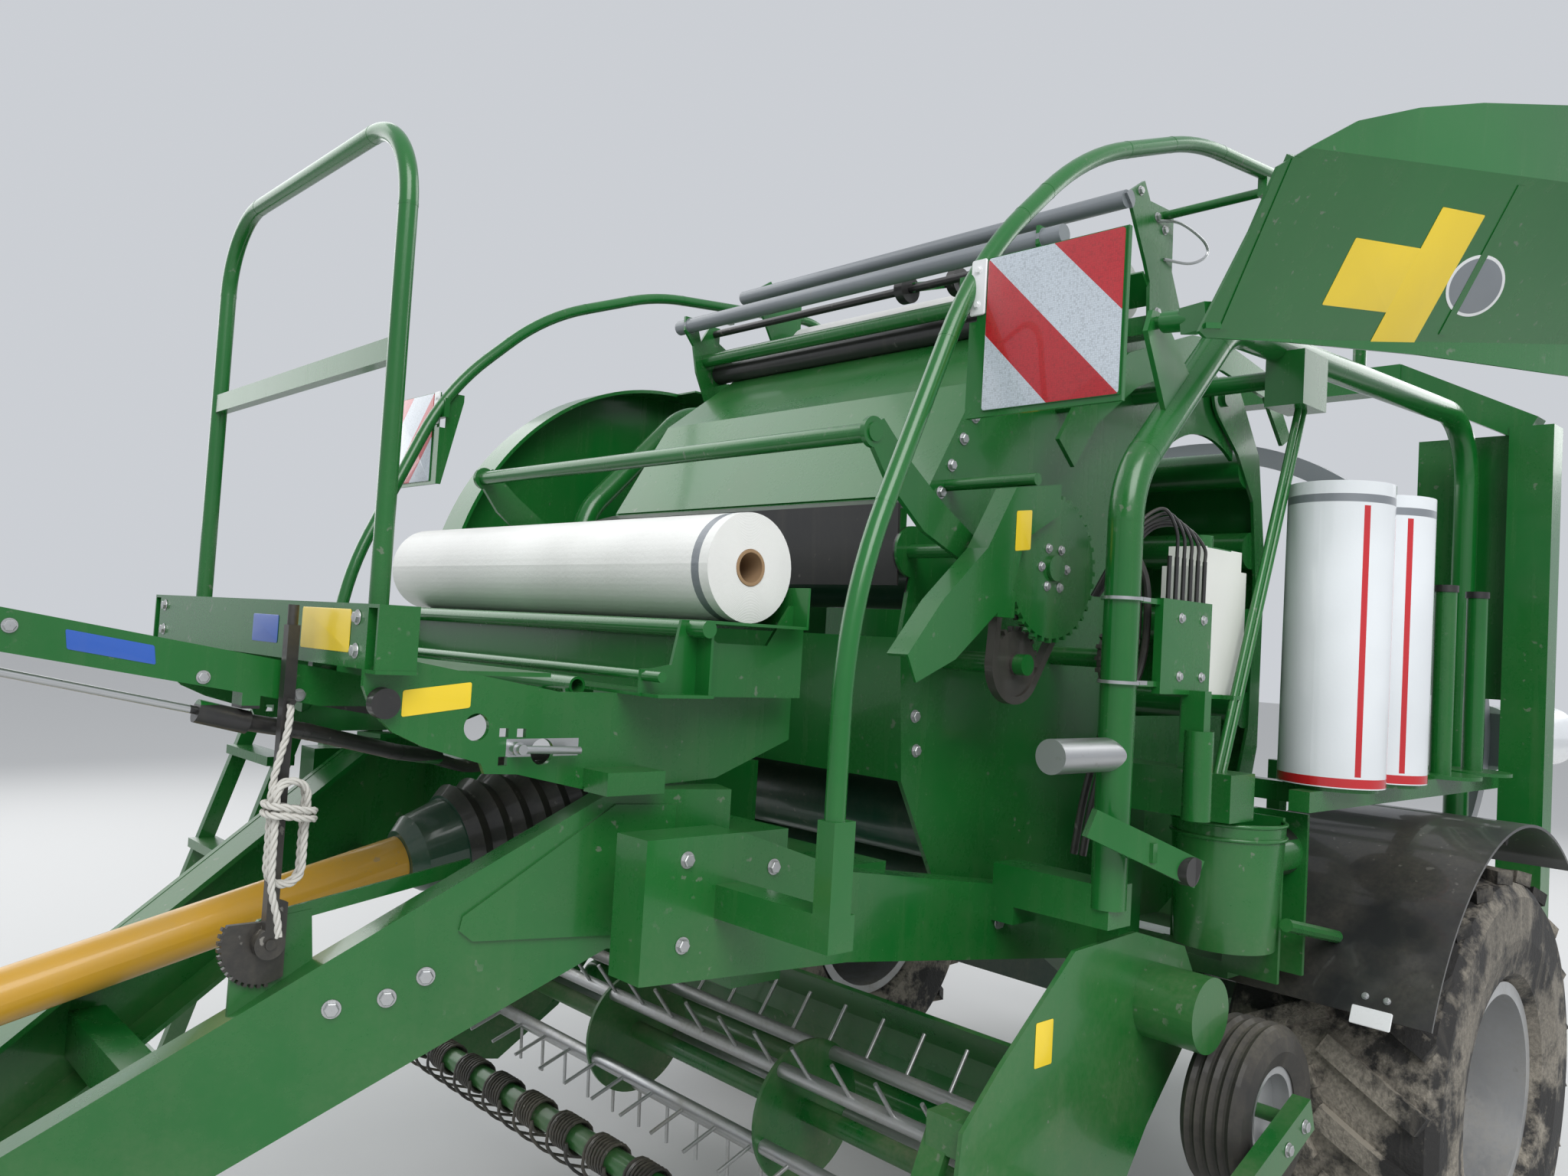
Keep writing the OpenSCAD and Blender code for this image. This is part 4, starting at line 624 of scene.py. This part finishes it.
# A small piece on a body, with its material
def addPiece(name, parts, body, material):
    piece = addMesh(name, parts, body)
    piece.data.materials.append(material)


# Reflective marker boards: slanting red and pale bands, with the honeycomb of the sheet
boardSet = {
    "x": 1.962, "inner": 1.092, "low": 2.196, "side": 0.282, "band": 0.0997, "thick": 0.0012,
    "proud": 0.0002, "margin": 0.001, "corner": 0.006,
    "pale": (0.56, 0.62, 0.68, 1), "red": (0.50, 0.010, 0.020, 1),
    "cells": 260, "cellMix": 0.15, "comb": (0.02, 0.10, 0.72, 1.0),
    "dirt": {"Dust": 0.12, "Scale": 7.0, "Low Mud": 0.1, "Wear": 0.0, "Rough": 0.22},
    "coat": 0.7, "bump": 0.15, "bumpDepth": 0.0006,
    "tab": (1.9605, 1.072, 2.428), "tabHalf": (0.017, 0.052), "tabThick": 0.004, "tabCorner": 0.004,
    "boltX": 1.964, "boltHeights": (2.395, 2.46), "boltSize": 0.006,
}


# Red where (across + up) / (root two times the band), taken by twos, is past one
def boardMaterial(s):
    mat, tree, surface = newMaterial("boardStripes")
    coord, place = addCoord(tree)
    low = at(0, s["inner"], s["low"])
    across = addMath(tree, "SUBTRACT", addMath(tree, "ABSOLUTE", place["Y"]), s["inner"])
    up = addMath(tree, "SUBTRACT", place["Z"], float(low[2]))
    along = addMath(tree, "MULTIPLY", addMath(tree, "ADD", across, up), 1 / math.sqrt(2) / s["band"])
    red = addMath(tree, "GREATER_THAN", addMath(tree, "FLOORED_MODULO", along, 2.0), 1.0)
    cells = tree.nodes.new("ShaderNodeTexVoronoi")
    cells.feature = "DISTANCE_TO_EDGE"
    for title, value in (("Scale", s["cells"]), ("Randomness", s["cellMix"]), ("Vector", coord)):
        feed(tree, cells.inputs[title], value)
    tint = tree.nodes.new("ShaderNodeHueSaturation")
    feed(tree, tint.inputs["Value"], addRange(tree, cells.outputs["Distance"], *s["comb"]))
    feed(tree, tint.inputs["Color"], addMix(tree, "RGBA", red, s["pale"], s["red"]))
    group = addGroup(tree, dirt, {**s["dirt"], "Color": tint.outputs["Color"]})
    surface["Coat Weight"].default_value = s["coat"]
    addSurface(tree, surface, group, cells.outputs["Distance"], s["bump"], s["bumpDepth"])
    return mat


def makeBoards(s):
    h, m = s["side"] / 2, s["margin"]
    boards, tabs, bolts = [], [], []
    x, y, z = s["tab"]
    wide, high = s["tabHalf"]
    for sign in (1, -1):
        middle = at(s["x"] + s["proud"], sign * (s["inner"] + h), s["low"] + h)
        boards.append(sheetPart(middle, (0, h - m, 0), (0, 0, h - m), s["thick"], s["corner"]))
        tabs.append(sheetPart(at(x, sign * y, z), (0, wide, 0), (0, 0, high), s["tabThick"], s["tabCorner"]))
        for height in s["boltHeights"]:
            bolts += boltPart(at(s["boltX"], sign * y, height), (1, 0, 0), s["boltSize"])
    addPiece("boardSheets", boards, "chassis", boardMaterial(s))
    addPiece("boardTabs", tabs + bolts, "chassis", finish["pale"])


makeBoards(boardSet)
print("boards ready")


# Left guard door: hinge line and how far it is open, then its flat panel as it stands closed
doorSet = {
    "axis": (0.127, 0.986, -0.109), "pivot": (1.340, 1.130, 2.500), "open": 100,
    "front": (1.390, 1.200), "top": 2.500, "slant": 35,  # panel's front edge, and its angle to the side
    "corner": 0.004, "thick": 0.0005, "lift": 0.0004,
}


# Point of the open door: u along the panel from its front edge, down from its top, out from its face
def onDoor(u, down, out):
    s = doorSet
    turn = Matrix.Rotation(math.radians(s["open"]), 4, Vector(s["axis"]).normalized())
    pivot = Vector(at(*s["pivot"]))
    cosine, sine = math.cos(math.radians(s["slant"])), math.sin(math.radians(s["slant"]))
    x, y = s["front"]
    closed = Vector(at(x - cosine * u + sine * out, y + sine * u + cosine * out, s["top"] - down))
    return np.array(Matrix.Translation(pivot) @ turn @ Matrix.Translation(-pivot) @ closed)


# Sticker on the door, by its middle, its half sides and its turn in degrees
def doorSheet(u, down, halfU, halfD, turn, out):
    a = math.radians(turn)
    m = onDoor(u, down, out)
    eu, ed = onDoor(u + 1, down, out) - m, onDoor(u, down + 1, out) - m
    su = (eu * math.cos(a) + ed * math.sin(a)) * halfU
    sd = (ed * math.cos(a) - eu * math.sin(a)) * halfD
    return sheetPart(m, sd, su, doorSet["thick"], doorSet["corner"])


# Blank stickers: body, finish, slot and sheets
stickerSet = {
    "doorYellow": ("door_left", "sign", "yellow_plastic", [
        doorSheet(0.152, 0.437, 0.076, 0.118, 3, doorSet["lift"]),
        doorSheet(0.147, 0.633, 0.165, 0.082, 3, 0.0006)]),
    "shieldLabels": ("pickup", "sign", "yellow_plastic", [
        sheetPart(at(1.60, 1.0506, 0.98), (0.03, 0, 0), (0, 0, -0.045), 0.0006, 0.004)]),
    "frameLabels": ("chassis", "sign", "yellow_plastic", [
        sheetPart(at(2.8525, 0.40, 1.732), (0, 0.105, 0), (0, 0, 0.036), 0.0006, 0.005),
        sheetPart(at(2.722, 0.5704, 1.625), (-0.062, 0, 0.008), (0, 0, 0.022), 0.0006, 0.004),
        sheetPart(at(1.527, 0.8864, 2.030), (-0.028, 0, 0.004), (0, 0, 0.044), 0.0006, 0.004)]),
    "blueLabels": ("chassis", "blue", "grey_paint", [
        sheetPart(at(2.8525, 0.115, 1.724), (0, 0.066, 0), (0, 0, 0.026), 0.0006, 0.004),
        sheetPart(at(3.160, 0.3254, 1.6845), (-0.064, 0, -0.0103), (0.002, 0, 0.0155), 0.0006, 0.003)]),
}
for title, (body, look, slot, parts) in stickerSet.items():
    addPiece(title, parts, body, finish[look])


# Oval blank badge on the open door, a pale rim round a grey field, given by two half widths in the panel
badgeSet = {
    "u": 0.143, "down": 0.829, "across": (0.0135, 0.1055), "up": (0.0745, -0.0485), "lift": 0.0004,
    "sides": 56, "edge": (0.7, 0.985, 0.001),  # straight share of the height, chamfered width, open middle
    "layers": [("badgeRim", 1.0, "pale", 0.0007), ("badgeField", 0.9, "greySign", 0.0012)],
}


# Each layer is the ellipse of the two half widths, in rings of (size, height)
def makeBadge(s):
    m = onDoor(s["u"], s["down"], s["lift"])
    eu = onDoor(s["u"] + 1, s["down"], s["lift"]) - m
    ed = onDoor(s["u"], s["down"] + 1, s["lift"]) - m
    half = [eu * s[k][0] + ed * s[k][1] for k in ("across", "up")]
    n = onDoor(s["u"], s["down"], 1.0) - m
    n /= np.linalg.norm(n)
    a = np.linspace(0, 2 * np.pi, s["sides"], endpoint=False)
    outline = half[0] * np.cos(a)[:, None] + half[1] * np.sin(a)[:, None]
    straight, chamfer, middle = s["edge"]
    for title, size, look, h in s["layers"]:
        rings = [(size, 0.0), (size, h * straight), (size * chamfer, h), (middle, h)]
        verts = np.vstack([m + n * z + r * outline for r, z in rings])
        addPiece(title, [(verts, gridFaces(len(rings), s["sides"]))], "door_left", finish[look])


makeBadge(badgeSet)
print("stickers ready")


# Six places in a ring round a line across the machine, from the angle given in degrees
def boltRing(x, y, z, radius, start):
    return [(x + radius * math.cos(a), y, z + radius * math.sin(a))
            for a in np.radians(range(start, start + 360, 60))]


# Bolt heads: body, axis, size, places
boltSet = [
    ("chassis", (0.332, 0.943, 0), 0.013, [
        (2.796, 0.4105, 1.079), (2.711, 0.4405, 1.092), (2.651, 0.4617, 1.126)]),
    ("chassis", (0.332, -0.943, 0), 0.013, [
        (2.796, -0.4105, 1.079), (2.711, -0.4405, 1.092), (2.651, -0.4617, 1.126)]),
    ("chassis", (0, 1, 0), 0.012, [
        (1.47, 0.627, 2.20), (1.505, 0.627, 2.13), (1.43, 0.627, 2.27), (1.39, 0.627, 2.33),
        (1.555, 0.627, 1.60), (1.545, 0.627, 1.52), (1.02, 0.627, 2.60), (1.14, 0.627, 2.52)]),
    ("chassis", (0, -1, 0), 0.012, [
        (1.47, -0.627, 2.20), (1.505, -0.627, 2.13), (1.43, -0.627, 2.27), (1.555, -0.627, 1.60),
        (1.02, -0.627, 2.60)]),
    ("chassis", (0, 1, 0), 0.009, boltRing(1.37, 0.862, 1.96, 0.05, 0)),
    ("chassis", (0, 1, 0), 0.012, [
        (2.33, 0.78, 1.36), (2.33, 0.78, 1.21), (2.12, 0.78, 1.33), (1.95, 0.78, 1.25),
        (1.40, 0.78, 1.14), (1.36, 0.84, 1.21), (0.12, 0.78, 0.84), (-0.79, 0.78, 0.82)]),
    ("chassis", (0, -1, 0), 0.012, [
        (2.33, -0.78, 1.36), (2.33, -0.78, 1.21), (2.12, -0.78, 1.33), (1.95, -0.78, 1.25)]),
    ("chassis", (0, 1, 0), 0.009, [
        (3.30, 0.325, 1.712), (3.02, 0.325, 1.640), (3.62, 0.325, 1.752), (2.86, 0.325, 1.612)]),
    ("chassis", (1, 0, 0), 0.010, [
        (2.852, 0.53, 1.70), (2.852, -0.53, 1.70), (2.852, 0.53, 1.755), (2.852, -0.53, 1.755)]),
    ("chassis", (0, 1, 0), 0.010, [
        (0.84, 0.775, 2.955), (0.80, 0.775, 2.93), (0.93, 0.775, 3.0), (0.82, 0.775, 2.70)]),
    ("chassis", (0, 1, 0), 0.009, [
        (1.22, 1.102, 1.73), (1.22, 1.102, 1.86), (1.12, 1.102, 1.86), (1.12, 1.102, 1.73)]),
    ("pickup", (0, 1, 0), 0.012, boltRing(1.56, 1.05, 0.61, 0.07, 30)),
    ("pickup", (0, -1, 0), 0.012, boltRing(1.56, -1.05, 0.61, 0.07, 30)),
    ("pickup", (0, 1, 0), 0.012, [(1.44, 1.325, 0.605), (1.08, 1.325, 0.738), (1.0, 1.325, 0.768)]),
    ("door_right", (0, -1, 0), 0.009, [
        (0.75, -1.368, 1.56), (0.3, -1.368, 1.56), (-0.3, -1.368, 1.56), (-0.58, -1.368, 1.9)]),
    ("wheel_left", (0, 1, 0), 0.013, [(-0.06, 1.256, 0.622)]),
    ("wheel_right", (0, -1, 0), 0.013, [(-0.06, -1.256, 0.622)]),
]


def makeBolts(rows):
    byBody = {}
    for body, axis, size, places in rows:
        for p in places:
            byBody.setdefault(body, []).extend(boltPart(at(*p), axis, size))
    for body, parts in byBody.items():
        addPiece("bolts_" + body, parts, body, finish["steel"])


makeBolts(boltSet)
print("bolts ready")


# Card cores in the rolls of net and film: place, axis, length, outer and inner radius
coreSet = {
    "netCore": (at(2.1, -0.7585, 1.9), (0, 1, 0), 1.4005, 0.0375, 0.0305),
    "filmCoreFront": (at(0.61, 1.195, 1.4808), (0, 0, 1), 0.7512, 0.0375, 0.0308),
    "filmCoreRear": (at(0.325, 1.195, 1.4808), (0, 0, 1), 0.7512, 0.0375, 0.0308),
}
e = 0.0008  # chamfer of the cores
for title, (place, axis, length, outer, inner) in coreSet.items():
    profile = [(inner, e), (inner + e, 0), (outer - e, 0), (outer, e), (outer, length - e),
               (outer - e, length), (inner + e, length), (inner, length - e), (inner, e)]
    addPiece(title, [turnedPart(profile, place, axis, 48)], "chassis", finish["card"])


# Coil springs of the crop roller, each with a wire finger at both ends; a finger's points lie off the axis
springSet = {
    "x": 1.95, "z": 0.5, "radius": 0.040, "wire": 0.0042, "coils": 7, "long": 0.085,
    "count": 12, "reach": 0.93,
    "finger": [(0.040, 0), (0.035, -0.045), (-0.03, -0.10), (-0.20, -0.155)],
}


# Coil: the angle and the place along the machine's width both grow evenly
def makeSprings(s):
    parts = []
    x, z, r = s["x"], s["z"], s["radius"]
    for y0 in np.linspace(-s["reach"], s["reach"] - s["long"], s["count"]):
        t = np.linspace(0, 1, s["coils"] * 14)
        a = t * s["coils"] * 2 * np.pi
        coil = np.column_stack([x + r * np.cos(a), y0 + s["long"] * t, z + r * np.sin(a)])
        parts.append(tubePart(coil - origin, s["wire"], 6))
        for y in (y0, y0 + s["long"]):
            finger = smoothLine([(x + dx, y, z + dz) for dx, dz in s["finger"]], 4)
            parts.append(tubePart(finger - origin, s["wire"], 6))
    addPiece("cropSprings", parts, "pickup", finish["lever"])


makeSprings(springSet)


# Hoses, wire and small rods: body, look, slot, radius, points in the axle's frame
lineSet = {
    "guardStay": ("chassis", "green", "green_paint", 0.016, [
        [(0.844, 1.2, 1.157), (0.70, 1.2, 1.126), (0.548, 1.2, 1.093)]]),
    "netHoop": ("chassis", "steel", "zinc_steel", 0.004, [
        [(0.84, 0.777, 2.945), (0.76, 0.80, 2.955), (0.65, 0.81, 2.935), (0.63, 0.81, 2.90),
         (0.70, 0.80, 2.86), (0.80, 0.777, 2.85)]]),
    "archHoses": ("chassis", "lever", "black_plastic", 0.009, [
        [(1.355, 1.03 + d, 2.02), (1.30, 1.05 + d, 1.98), (1.275, 1.06 + d, 1.9), (1.28, 1.055 + d, 1.75),
         (1.33, 1.02 + d, 1.6), (1.345, 0.99 + d, 1.45), (1.345, 0.97 + d, 1.32)] for d in (-0.035, -0.012)]),
    "frameHoses": ("chassis", "lever", "black_plastic", 0.012, [
        [(2.52, 0.19 - d, 1.475), (2.40, 0.13 - d, 1.45), (2.20, 0.10 - d, 1.47), (1.98, 0.09 - d, 1.46),
         (1.84, 0.09 - d, 1.44)] for d in (0.0, 0.03)]),
    "lubeLines": ("chassis", "lever", "black_plastic", 0.004, [
        [(1.105 + 0.032 * k, 1.092, 1.99), (1.108 + 0.032 * k, 1.09, 2.03 + 0.006 * k),
         (1.16 + 0.026 * k, 1.07, 2.07 + 0.008 * k), (1.25 + 0.018 * k, 1.04, 2.06),
         (1.30 + 0.012 * k, 1.0, 1.98), (1.32 + 0.006 * k, 0.95, 1.90)] for k in range(5)]),
}
for title, (body, look, slot, radius, routes) in lineSet.items():
    parts = [tubePart(smoothLine(np.array(route) - origin, 8), radius, 10) for route in routes]
    addPiece(title, parts, body, finish[look])


# Pale plate and its bolts on the front edge of the left mudguard, placed by angles round the wheel in degrees
guardSet = {
    "x": -0.045, "z": 0.622, "radius": 0.7532, "y": 1.322, "plate": 24.8, "bolts": 28.5,
    "half": (0.047, 0.022), "thick": 0.003, "corner": 0.004, "boltShifts": (-0.022, 0.028), "boltSize": 0.007,
}


def onGuard(s, angle, y):
    a = math.radians(angle)
    return at(s["x"] + s["radius"] * math.cos(a), y, s["z"] + s["radius"] * math.sin(a))


def makeGuardPlate(s):
    a, b = math.radians(s["plate"]), math.radians(s["bolts"])
    along = np.array([-math.sin(a), 0, math.cos(a)])
    plate = sheetPart(onGuard(s, s["plate"], s["y"]), (0, s["half"][0], 0), along * s["half"][1], s["thick"],
                      s["corner"])
    addPiece("guardPlate", [plate], "chassis", finish["pale"])
    bolts, axis = [], (math.cos(b), 0, math.sin(b))
    for shift in s["boltShifts"]:
        bolts += boltPart(onGuard(s, s["bolts"], s["y"] + shift), axis, s["boltSize"])
    addPiece("guardBolts", bolts, "chassis", finish["steel"])


makeGuardPlate(guardSet)
print("small pieces ready")


# Floor, sky and lamps; a lamp gives its place, power and size
stageSet = {
    "floorHalf": 60.0, "floorColor": (0.62, 0.62, 0.61, 1), "floorRough": 0.8,
    "sky": (0.80, 0.83, 0.88, 1), "skyStrength": 0.75,
    "lamps": {"key": ((6, 8, 9), 900, 7), "fill": ((3, -8, 6), 350, 8), "back": ((-9, 2, 7), 400, 7)},
    "target": (0.8, 0, 1.4),
}


def makeStage(s):
    mesh = bpy.data.meshes.new("floor")
    size, z = s["floorHalf"], -float(origin[2])
    corners = [(-size, -size, z), (size, -size, z), (size, size, z), (-size, size, z)]
    mesh.from_pydata(corners, [], [(0, 1, 2, 3)])
    floor = bpy.data.objects.new("floor", mesh)
    bpy.context.scene.collection.objects.link(floor)
    mat, _, surface = newMaterial("floorPale")
    surface["Base Color"].default_value = s["floorColor"]
    surface["Roughness"].default_value = s["floorRough"]
    mesh.materials.append(mat)
    world = bpy.data.worlds.new("studio")
    world.use_nodes = True
    background = world.node_tree.nodes["Background"].inputs
    background["Color"].default_value = s["sky"]
    background["Strength"].default_value = s["skyStrength"]
    bpy.context.scene.world = world
    for title, (place, energy, width) in s["lamps"].items():
        lamp = bpy.data.lights.new(title, "AREA")
        lamp.energy = energy
        lamp.size = width
        obj = bpy.data.objects.new(title, lamp)
        bpy.context.scene.collection.objects.link(obj)
        obj.location = at(*place)
        toTarget = Vector(at(*s["target"])) - Vector(at(*place))
        obj.rotation_euler = toTarget.to_track_quat("-Z", "Y").to_euler()
    bpy.context.scene.view_settings.view_transform = "Standard"


makeStage(stageSet)
print("stage ready")
